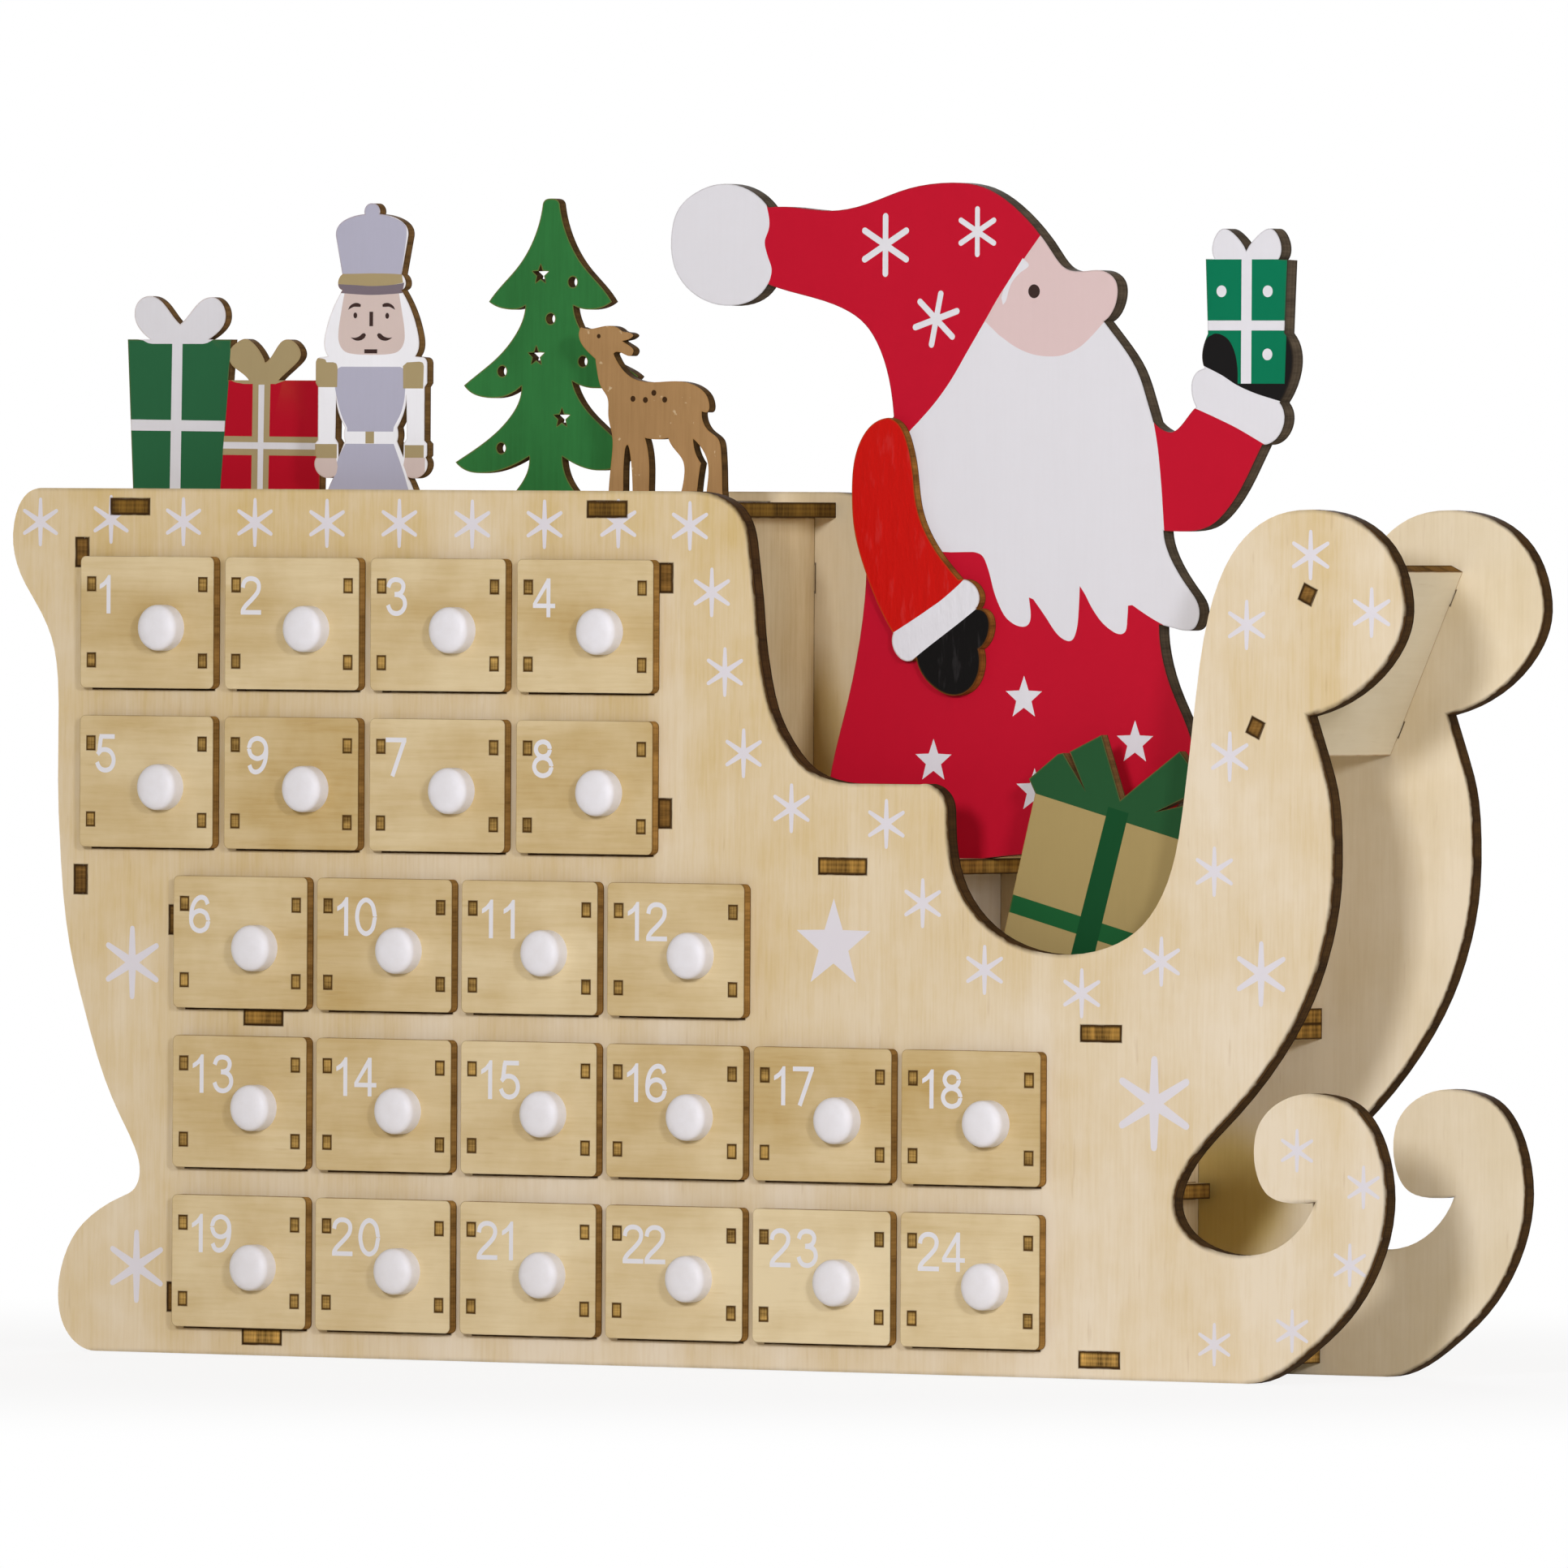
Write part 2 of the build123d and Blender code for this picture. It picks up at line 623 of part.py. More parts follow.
# Santa: coat, hat with bobble, face, beard and raised hand with a parcel, in one outline.
santa_runs_shares = [
    [(0.252, 0.000)],
    [(0.256, 0.051), (0.265, 0.127), (0.288, 0.219), (0.308, 0.311), (0.320, 0.420),
     (0.323, 0.537), (0.341, 0.615), (0.363, 0.654)],
    [(0.357, 0.699), (0.342, 0.749), (0.315, 0.791), (0.277, 0.815), (0.222, 0.832), (0.158, 0.850)],
    [(0.138, 0.829), (0.110, 0.819), (0.069, 0.821), (0.028, 0.843), (0.006, 0.874), (0.000, 0.919),
     (0.010, 0.959), (0.041, 0.987), (0.079, 0.999), (0.122, 0.992), (0.158, 0.964)],
    [(0.201, 0.964), (0.262, 0.959), (0.318, 0.969), (0.379, 0.990), (0.445, 1.000), (0.506, 0.993),
     (0.554, 0.965), (0.598, 0.921)],
    [(0.618, 0.894), (0.638, 0.873), (0.669, 0.869), (0.699, 0.869), (0.717, 0.856), (0.720, 0.828),
     (0.699, 0.795)],
    [(0.727, 0.761), (0.752, 0.724), (0.767, 0.685), (0.779, 0.647)],
    [(0.793, 0.636), (0.808, 0.632), (0.826, 0.645), (0.847, 0.669)],
    [(0.840, 0.688), (0.841, 0.710), (0.860, 0.726)],
    [(0.856, 0.743), (0.859, 0.762), (0.865, 0.777)],
    [(0.861, 0.887)],
    [(0.875, 0.887)],
    [(0.874, 0.916), (0.887, 0.931), (0.905, 0.924), (0.925, 0.898)],
    [(0.944, 0.922), (0.965, 0.931), (0.978, 0.915), (0.976, 0.886)],
    [(0.990, 0.885)],
    [(0.986, 0.778)],
    [(0.998, 0.754), (0.998, 0.721), (0.979, 0.676)],
    [(0.987, 0.652), (0.977, 0.626), (0.952, 0.614)],
    [(0.930, 0.570), (0.901, 0.523), (0.867, 0.493), (0.831, 0.486), (0.796, 0.487)],
    [(0.808, 0.446), (0.836, 0.403), (0.854, 0.369), (0.846, 0.344), (0.816, 0.343), (0.790, 0.349)],
    [(0.795, 0.302), (0.812, 0.249), (0.835, 0.199), (0.847, 0.141), (0.829, 0.092), (0.770, 0.049),
     (0.679, 0.021), (0.577, 0.008), (0.506, 0.000)],
]
santa_face = cut_face(santa_runs_shares, santa_width, santa_height, santa_left, seat_top)
santa_body = sheet(santa_face, santa_y, santa_thickness)
santa_body = add_tabs(santa_body, santa_tabs, santa_tab_length, santa_y, santa_thickness, seat_top)
save("santa_body", santa_body.solids())

# Santa's near arm, a second layer glued on the coat.
arm_left_share, arm_width_share = 0.3059, 0.2215
arm_bottom_share, arm_height_share = 0.2411, 0.4107
arm_runs_shares = [
    [(0.344, 0.973), (0.399, 0.910), (0.438, 0.815), (0.475, 0.673), (0.560, 0.564),
     (0.663, 0.486), (0.780, 0.417)],
    [(0.858, 0.413), (0.927, 0.371), (0.908, 0.315)],
    [(0.991, 0.292), (1.000, 0.224), (0.927, 0.168)],
    [(0.931, 0.087), (0.867, 0.024), (0.743, 0.000), (0.606, 0.029), (0.514, 0.080), (0.475, 0.135)],
    [(0.372, 0.128), (0.305, 0.174), (0.307, 0.223)],
    [(0.202, 0.319), (0.108, 0.435), (0.018, 0.598), (0.000, 0.734), (0.032, 0.878), (0.124, 0.965),
     (0.261, 1.000)],
]
arm_face = cut_face(
    arm_runs_shares, arm_width_share * santa_width, arm_height_share * santa_height,
    santa_left + arm_left_share * santa_width, seat_top + arm_bottom_share * santa_height,
)
save("santa_arm", sheet(arm_face, santa_y - figure_thickness, figure_thickness).solids())

# Nutcracker: the left half going up, and the gap between arm and waist.
nutcracker_runs_shares = [
    [(0.810, 0.000)],
    [(0.756, 0.036), (0.653, 0.080)],
    [(0.810, 0.076), (0.957, 0.096), (1.000, 0.122), (0.962, 0.145)],
    [(0.989, 0.152)],
    [(0.989, 0.192)],
    [(0.940, 0.202)],
    [(0.940, 0.382)],
    [(0.984, 0.395)],
    [(0.984, 0.458)],
    [(0.967, 0.474), (0.919, 0.482)],
    [(0.772, 0.485)],
    [(0.837, 0.518), (0.816, 0.565), (0.724, 0.628), (0.583, 0.688), (0.523, 0.708)],
    [(0.593, 0.723), (0.588, 0.743), (0.523, 0.761)],
    [(0.637, 0.888)],
    [(0.621, 0.916), (0.501, 0.942), (0.133, 0.964)],
    [(0.127, 0.984), (0.073, 0.997), (0.000, 1.000)],
]
nutcracker_gap_shares = [
    [(0.631, 0.209)], [(0.577, 0.192)], [(0.572, 0.145)], [(0.463, 0.199)],
    [(0.481, 0.221), (0.463, 0.245)],
    [(0.535, 0.274), (0.599, 0.312), (0.621, 0.355)],
]
nutcracker_face = cut_face(
    both_sides(nutcracker_runs_shares), -nutcracker_half_width, nutcracker_height,
    nutcracker_middle, deck,
)
for half in (-nutcracker_half_width, nutcracker_half_width):
    nutcracker_face -= cut_face(
        nutcracker_gap_shares, half, nutcracker_height, nutcracker_middle, deck
    )
nutcracker = sheet(nutcracker_face, front_row_y, figure_thickness)
nutcracker = add_tabs(
    nutcracker, nutcracker_tabs, figure_tab_length, front_row_y, figure_thickness, deck
)
save("nutcracker", nutcracker.solids())

# Fir tree: the left side going up, the right side coming down, then its star and round holes.
tree_runs_shares = [
    [(0.441, 0.000)],
    [(0.353, 0.036), (0.261, 0.081), (0.219, 0.149)],
    [(0.359, 0.123), (0.523, 0.102), (0.719, 0.092), (0.899, 0.102), (1.000, 0.128)],
    [(0.866, 0.156), (0.621, 0.213), (0.425, 0.278), (0.333, 0.329), (0.304, 0.381)],
    [(0.376, 0.362), (0.507, 0.344), (0.686, 0.342), (0.833, 0.357), (0.915, 0.382)],
    [(0.752, 0.424), (0.556, 0.477), (0.386, 0.543), (0.291, 0.605), (0.268, 0.647)],
    [(0.343, 0.635), (0.458, 0.634), (0.572, 0.643), (0.654, 0.659)],
    [(0.523, 0.712), (0.343, 0.777), (0.196, 0.857), (0.127, 0.919), (0.092, 0.974)],
    [(0.059, 0.996), (0.000, 1.000), (-0.059, 0.996), (-0.092, 0.974)],
    [(-0.127, 0.919), (-0.196, 0.857), (-0.343, 0.777), (-0.523, 0.712), (-0.646, 0.659)],
    [(-0.566, 0.643), (-0.458, 0.634), (-0.343, 0.635), (-0.239, 0.647)],
    [(-0.271, 0.599), (-0.359, 0.549), (-0.507, 0.503), (-0.704, 0.456), (-0.859, 0.430), (-0.928, 0.413)],
    [(-0.868, 0.395), (-0.752, 0.384), (-0.621, 0.378), (-0.441, 0.374), (-0.317, 0.383), (-0.229, 0.398)],
    [(-0.288, 0.348), (-0.392, 0.299), (-0.539, 0.252), (-0.703, 0.201), (-0.817, 0.151)],
    [(-0.735, 0.119), (-0.621, 0.106), (-0.490, 0.103), (-0.343, 0.113), (-0.131, 0.149)],
    [(-0.144, 0.112), (-0.183, 0.075), (-0.255, 0.038), (-0.353, 0.000)],
]
tree_star_radius = 2.75
tree_hole_radius = 1.45
star_waist_share = 0.42
tree_star_shares = ((-0.108, 0.749), (-0.150, 0.480), (0.124, 0.275))
tree_hole_shares = ((0.232, 0.724), (0.000, 0.603), (-0.510, 0.429), (0.343, 0.462), (-0.516, 0.175))
tree_face = cut_face(tree_runs_shares, -tree_half_width, tree_height, tree_middle, deck)
for across, rise in tree_star_shares:
    place = Pos(tree_middle + across * tree_half_width, deck + rise * tree_height)
    tree_face -= place * star(tree_star_radius, star_waist_share)
for across, rise in tree_hole_shares:
    place = Pos(tree_middle + across * tree_half_width, deck + rise * tree_height)
    tree_face -= place * Circle(tree_hole_radius)
fir_tree = sheet(tree_face, back_row_y, figure_thickness)
fir_tree = add_tabs(fir_tree, tree_tabs, figure_tab_length, back_row_y, figure_thickness, deck)
save("fir_tree", fir_tree.solids())

# Reindeer: from the muzzle down the chest, round the four legs, tail, back and antlers.
deer_runs_shares = [
    [(0.000, 0.945), (0.017, 0.902), (0.066, 0.851), (0.115, 0.812)],
    [(0.130, 0.727), (0.158, 0.648), (0.197, 0.595), (0.205, 0.493), (0.231, 0.386), (0.229, 0.237),
     (0.209, 0.000)],
    [(0.308, 0.000)],
    [(0.311, 0.151), (0.316, 0.258), (0.322, 0.301)],
    [(0.337, 0.324), (0.351, 0.301)],
    [(0.361, 0.247), (0.371, 0.151), (0.376, 0.000)],
    [(0.487, 0.000)],
    [(0.489, 0.151), (0.481, 0.279), (0.457, 0.365)],
    [(0.543, 0.356), (0.618, 0.365)],
    [(0.660, 0.301), (0.720, 0.232), (0.729, 0.162), (0.688, 0.000)],
    [(0.812, 0.000)],
    [(0.825, 0.130), (0.842, 0.222)],
    [(0.803, 0.284), (0.788, 0.360)],
    [(0.855, 0.296), (0.889, 0.226), (0.891, 0.130), (0.878, 0.000)],
    [(0.998, 0.000)],
    [(0.987, 0.151), (0.979, 0.290), (0.962, 0.356), (0.893, 0.407), (0.850, 0.471), (0.846, 0.516)],
    [(0.893, 0.520), (0.893, 0.576), (0.855, 0.631), (0.795, 0.665), (0.714, 0.684), (0.585, 0.684),
     (0.447, 0.684), (0.355, 0.712), (0.286, 0.770), (0.239, 0.842)],
    [(0.308, 0.842), (0.363, 0.834), (0.376, 0.858), (0.345, 0.890), (0.298, 0.915)],
    [(0.330, 0.921), (0.357, 0.931), (0.373, 0.947), (0.358, 0.959), (0.327, 0.965), (0.291, 0.974)],
    [(0.250, 0.996), (0.179, 1.000), (0.094, 0.985), (0.015, 0.994)],
]
deer_face = cut_face(deer_runs_shares, deer_width, deer_height, deer_left, deck)
reindeer = sheet(deer_face, front_row_y, figure_thickness)
reindeer = add_tabs(reindeer, deer_tabs, leg_tab_length, front_row_y, figure_thickness, deck)
save("reindeer", reindeer.solids())

# Pair of parcels cut as one piece: tall one, low one, and a bow on each.
tall_parcel_shares = [[(0.000, 0.786)], [(0.033, 0.000)], [(0.478, 0.000)], [(0.533, 0.786)]]
low_parcel_shares = [[(0.517, 0.586)], [(0.478, 0.000)], [(0.989, 0.000)], [(1.000, 0.586)]]
tall_bow_shares = [
    [(0.138, 0.775)],
    [(0.070, 0.826), (0.036, 0.891), (0.048, 0.964), (0.098, 0.998), (0.161, 0.982), (0.223, 0.913),
     (0.270, 0.860)],
    [(0.325, 0.920), (0.388, 0.982), (0.448, 0.991), (0.495, 0.946), (0.502, 0.878), (0.461, 0.817),
     (0.395, 0.775)],
]
low_bow_shares = [
    [(0.630, 0.575)],
    [(0.573, 0.632), (0.525, 0.681), (0.527, 0.733), (0.562, 0.770), (0.605, 0.789), (0.645, 0.770),
     (0.708, 0.673)],
    [(0.761, 0.735), (0.803, 0.782), (0.839, 0.784), (0.891, 0.711), (0.855, 0.657), (0.770, 0.575)],
]
gifts_face = cut_face(tall_parcel_shares, gifts_width, gifts_height, gifts_left, deck)
for runs in (low_parcel_shares, tall_bow_shares, low_bow_shares):
    gifts_face += cut_face(runs, gifts_width, gifts_height, gifts_left, deck)
gift_pair = sheet(gifts_face, back_row_y, figure_thickness)
gift_pair = add_tabs(gift_pair, gifts_tabs, figure_tab_length, back_row_y, figure_thickness, deck)
save("gift_pair", gift_pair.solids())

# Parcel in the footwell, standing aslant on one lower corner.
brown_width = 50.0
brown_height = 45.6
brown_lean_degrees = 14.5
brown_corner_share = 0.8126
brown_corner = seat_wall_right + brown_corner_share * (low_plate_right - seat_wall_right)
brown_runs_shares = [
    [(-1.000, 0.000)], [(0.000, 0.000)], [(0.000, 1.000)],
    [(0.080, 1.070)], [(-0.010, 1.241)], [(-0.250, 1.110)], [(-0.050, 1.274)], [(-0.100, 1.428)],
    [(-0.184, 1.493)], [(-0.476, 1.116)], [(-0.678, 1.445)], [(-0.848, 1.294)], [(-0.700, 1.103)],
    [(-0.886, 1.276)], [(-0.916, 1.261)], [(-1.058, 1.070)], [(-1.000, 1.000)],
]
brown_face = cut_face(brown_runs_shares, brown_width, brown_height, 0, 0)
brown_face = Pos(brown_corner, footwell_top) * Rot(0, 0, -brown_lean_degrees) * brown_face
save("brown_gift", sheet(brown_face, front_y + brown_gift_setback, figure_thickness).solids())


def knob_at(x, y, z):
    """Turned knob: peg, straight rim and domed face, its base at y."""
    radius = knob_diameter / 2
    peg = knob_peg_diameter / 2
    foot = -drawer_thickness
    side = Polyline((0, foot), (peg, foot), (peg, 0), (radius, 0), (radius, knob_rim_depth))
    dome = Spline((radius, knob_rim_depth), (0, knob_depth), tangents=((0, 1), (-1, 0)))
    axis = Line((0, knob_depth), (0, foot))
    profile = make_face([*side.edges(), dome, axis])
    turned = revolve(Plane.XZ * profile, axis=Axis.Z)
    return Pos(x, y, z) * Rot(90, 0, 0) * turned


def drawer_pieces(middle, floor):
    """Front, two sides, back, bottom and knob of one drawer, closed in its bay."""
    low = floor + slide_clearance
    high = low + drawer_height
    face_back = front_y - slide_clearance
    face_front = face_back - drawer_thickness
    end = face_back + drawer_depth
    half = drawer_width / 2
    outline = Pos(middle, low + front_height / 2) * RectangleRounded(
        front_width, front_height, front_corner_radius
    )
    front = sheet(outline, face_front, drawer_thickness)
    sides = []
    for left in (middle - half, middle + half - drawer_side_thickness):
        right = left + drawer_side_thickness
        side = block(left, right, face_back, end, low, high)
        for share in side_tenon_shares:
            z0 = low + share * front_height - side_tenon_height / 2
            z1 = z0 + side_tenon_height
            side += block(left, right, face_front, face_back, z0, z1)
            front -= block(
                left - tenon_clearance, right + tenon_clearance, face_front - overrun, face_back + overrun,
                z0 - tenon_clearance, z1 + tenon_clearance,
            )
        sides.extend(side.solids())
    knob_x = middle + knob_offset
    knob_z = low + front_height / 2 - knob_drop_height
    front -= Pos(knob_x, face_front, knob_z) * Rot(90, 0, 0) * Cylinder(
        knob_peg_diameter / 2 + tenon_clearance, 2 * (drawer_thickness + overrun)
    )
    inner = half - drawer_side_thickness
    back = block(middle - inner, middle + inner, end - drawer_thickness, end, low, high)
    bottom = block(
        middle - inner, middle + inner, face_back, end - drawer_thickness, low, low + drawer_thickness
    )
    knob = knob_at(knob_x, face_front, knob_z)
    return [*front.solids(), *sides, *back.solids(), *bottom.solids(), *knob.solids()]


for number, middle, floor in drawer_places:
    save(f"drawer_{number:02d}", drawer_pieces(middle, floor))
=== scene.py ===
import bpy
import numpy as np
from mathutils import Matrix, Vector
from mathutils.geometry import delaunay_2d_cdt


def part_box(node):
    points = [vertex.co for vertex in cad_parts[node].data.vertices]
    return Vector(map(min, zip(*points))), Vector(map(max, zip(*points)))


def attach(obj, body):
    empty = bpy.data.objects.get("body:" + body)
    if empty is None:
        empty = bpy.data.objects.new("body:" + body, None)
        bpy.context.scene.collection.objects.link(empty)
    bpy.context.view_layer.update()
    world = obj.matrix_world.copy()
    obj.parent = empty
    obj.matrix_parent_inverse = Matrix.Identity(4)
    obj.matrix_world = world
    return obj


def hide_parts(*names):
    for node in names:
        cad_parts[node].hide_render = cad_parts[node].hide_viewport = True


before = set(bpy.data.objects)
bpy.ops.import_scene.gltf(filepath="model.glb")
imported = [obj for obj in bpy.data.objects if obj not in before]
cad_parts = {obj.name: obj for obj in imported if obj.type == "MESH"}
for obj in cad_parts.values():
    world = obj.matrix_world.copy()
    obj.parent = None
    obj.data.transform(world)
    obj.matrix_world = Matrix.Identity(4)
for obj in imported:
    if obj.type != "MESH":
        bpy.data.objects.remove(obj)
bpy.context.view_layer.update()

# Inner boards: bottom, floor, seat and top plates, row shelves, walls and dividers.
# They are cut by laser from 4 mm birch plywood, so every cut edge is burnt brown,
# and they hold together by tenons in slots and by half laps.
MM = 0.001
SCORCH_WIDTH, MILD_SCORCH = 0.55, 0.75
SHARP_ANGLE = 0.6
# The two directions that a board's low face is drawn in, for a board thin along x, y or z.
FACE_AXES = {0: (2, 1), 1: (0, 2), 2: (1, 0)}


def srgb(red, green, blue):
    """Linear opaque colour of an sRGB triple given in 0 to 255."""
    share = np.array([red, green, blue]) / 255.0
    return (*np.where(share > 0.04045, ((share + 0.055) / 1.055) ** 2.4, share / 12.92), 1.0)


def open_edges(triangles, count):
    """Edges of the triangles, out of so many points, that no neighbour runs along the other way."""
    edges = np.concatenate((triangles[:, [0, 1]], triangles[:, [1, 2]], triangles[:, [2, 0]]))
    return edges[~np.isin(edges[:, 0] * count + edges[:, 1], edges[:, 1] * count + edges[:, 0])]


def closing_edges(shape):
    """Edges from each point of a closed outline to the next."""
    step = np.arange(len(shape))
    return np.stack((step, np.roll(step, -1)), axis=1)


def low_faces(node, axis, turn=np.eye(3)):
    """Outlines of a CAD board's low faces, thin along the axis after the turn, with the board's two levels."""
    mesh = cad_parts[node].data
    points = np.empty(3 * len(mesh.vertices))
    mesh.vertices.foreach_get("co", points)
    points = points.reshape(-1, 3) @ turn.T / MM
    corners = np.empty(3 * len(mesh.loop_triangles), int)
    mesh.loop_triangles.foreach_get("vertices", corners)
    points, merged = np.unique(np.round(points, 3), axis=0, return_inverse=True)
    corners = merged.ravel()[corners].reshape(-1, 3)
    a, b, c = points[corners].transpose(1, 0, 2)
    normal = np.cross(b - a, c - a)
    along = points[:, axis][corners]
    flat = np.ptp(along, axis=1) < 0.01
    level = np.round(along.mean(axis=1), 2)
    lows = np.unique(level[flat & (normal[:, axis] < 0)])
    highs = np.unique(level[flat & (normal[:, axis] > 0)])
    for low, high in zip(lows, highs):
        cap = corners[flat & (normal[:, axis] < 0) & (level == low)]
        used, numbered = np.unique(open_edges(cap, len(points)), return_inverse=True)
        yield points[used][:, FACE_AXES[axis]], numbered.reshape(-1, 2), axis, low, high


def inside(spots, points, edges):
    """Even-odd rule: a spot is inside where a ray to its right meets an odd number of edges."""
    a, b = points[edges[:, 0]], points[edges[:, 1]]
    low, high = spots[:, None, 1] >= a[None, :, 1], spots[:, None, 1] >= b[None, :, 1]
    rise = np.where(a[:, 1] == b[:, 1], 1.0, b[:, 1] - a[:, 1])
    meet = a[:, 0] + (spots[:, None, 1] - a[:, 1]) * (b[:, 0] - a[:, 0]) / rise
    return ((low != high) & (spots[:, None, 0] < meet)).sum(axis=1) % 2 == 1


def edge_distance(spots, points, edges):
    """Shortest distance from each spot to the edges, each edge being a straight piece."""
    a = points[edges[:, 0]]
    run = points[edges[:, 1]] - a
    length = np.maximum((run ** 2).sum(axis=1), 1e-9)
    nearest = np.full(len(spots), np.inf)
    for part in np.array_split(np.arange(len(spots)), max(1, len(spots) * len(edges) // 2000000)):
        away = spots[part][:, None, :] - a
        share = np.clip((away * run).sum(axis=2) / length, 0, 1)
        nearest[part] = np.sqrt(((away - share[..., None] * run) ** 2).sum(axis=2)).min(axis=1)
    return nearest


def inset_ring(points, edges, width):
    """Points moved inwards by the width along the mitre of their two edges, and the edges between them.
    At the end of a narrow slit the point moves on in the slit's own direction."""
    run = points[edges[:, 1]] - points[edges[:, 0]]
    run = run / np.linalg.norm(run, axis=1, keepdims=True)
    before, after = np.zeros_like(points), np.zeros_like(points)
    before[edges[:, 1]] = run
    after[edges[:, 0]] = run
    bend = (before * after).sum(axis=1, keepdims=True)
    inward = (before + after)[:, ::-1] * (-1, 1)
    slit = (bend[:, 0] < -0.3) & (before[:, 0] * after[:, 1] < before[:, 1] * after[:, 0])
    onward = (before - after) / np.maximum(np.linalg.norm(before - after, axis=1, keepdims=True), 1e-6)
    ring = points + width * np.where(slit[:, None], onward, inward / np.maximum(1 + bend, 0.35))
    clear = edge_distance(ring, points, edges) > 0.8 * np.ravel(width)
    return ring, edges[clear[edges].all(axis=1)], clear


def outer_loop(points, edges):
    """Marks the edges of the loop that starts from the leftmost point."""
    after = np.zeros(len(points), int)
    after[edges[:, 0]] = edges[:, 1]
    met = np.zeros(len(points), bool)
    spot = points[:, 0].argmin()
    while not met[spot]:
        met[spot] = True
        spot = after[spot]
    return met[edges[:, 0]]


def board(points, edges, axis, low, high, inks=(), mild=0, width=SCORCH_WIDTH, rim_width=0.0):
    """A cut board as arrays: both faces filled between their edges, inks and scorch line, and walls round them.
    The first edges, as many as mild says, have less scorch. rim_width is the width of a wider scorch inside the
    outline, deepest at edges that face along the first axis."""
    widths = np.full((len(points), 1), width)
    scorched = [(edges[mild:], width, 1.0), (edges[:mild], width, MILD_SCORCH)]
    if rim_width:
        rim = outer_loop(points, edges)
        run = points[edges[:, 1]] - points[edges[:, 0]]
        depths = np.round(np.clip(0.4 + 0.8 * run[:, 1] / np.linalg.norm(run, axis=1), 0.1, 1.0), 1)
        widths[edges[rim].ravel()] = rim_width
        scorched = [(edges[~rim], width, 1.0)]
        scorched += [(edges[rim & (depths == depth)], rim_width, depth) for depth in np.unique(depths)]
    line, line_edges, clear = inset_ring(points, edges, widths)
    numbered = np.cumsum(clear) - 1 + len(points)
    drawn = [points, line[clear]]
    lines = [edges, numbered[line_edges]]
    start = len(points) + clear.sum()
    for _, shape in inks:
        drawn.append(shape)
        lines.append(closing_edges(shape) + start)
        start += len(shape)
    flat, _, faces, _, _, _ = delaunay_2d_cdt(
        np.concatenate(drawn).tolist(), np.concatenate(lines).tolist(), [], 0, 1e-4)
    flat = np.array([tuple(p) for p in flat])
    faces = np.array(faces)
    middle = flat[faces].mean(axis=1)
    used, renumbered = np.unique(faces[inside(middle, points, edges)], return_inverse=True)
    flat, faces = flat[used], renumbered.reshape(-1, 3)
    middle = flat[faces].mean(axis=1)
    ink = np.zeros((len(faces), 4))
    for colour, shape in inks:
        near = ((middle >= shape.min(axis=0)) & (middle <= shape.max(axis=0))).all(axis=1)
        near[near] = inside(middle[near], shape, closing_edges(shape))
        ink[near] = colour
    burn = np.zeros(len(flat))
    for part, reach, depth in scorched:
        if len(part):
            burn = np.maximum(burn, depth * np.clip(1 - edge_distance(flat, points, part) / reach, 0, 1))
    count = len(flat)
    solid = np.zeros((2 * count, 3))
    solid[:, FACE_AXES[axis]] = np.concatenate((flat, flat))
    solid[:count, axis] = low
    solid[count:, axis] = high
    sides = open_edges(faces, count)
    walls = np.stack((sides[:, 1], sides[:, 0], sides[:, 0] + count, sides[:, 1] + count), axis=1)
    length = np.linalg.norm(flat[sides[:, 0]] - flat[sides[:, 1]], axis=1)
    wall = np.zeros((6 * len(faces) + 4 * len(walls), 3))
    wall[6 * len(faces):, 0] = np.tile([0, 1, 1, 0], len(walls))
    wall[6 * len(faces):, 1] = np.repeat(length, 4)
    wall_burn = np.tile([2.0, 2, 3, 3], len(walls))
    bare = np.zeros((3 * len(faces) + 4 * len(walls), 4))
    return {
        "points": solid,
        "triangles": np.concatenate((faces, faces[:, ::-1] + count)),
        "quads": walls,
        "burn": np.concatenate((burn[faces].ravel(), burn[faces[:, ::-1]].ravel(), wall_burn)),
        "ink": np.concatenate((np.repeat(ink, 3, axis=0), bare)),
        "wall": wall,
    }


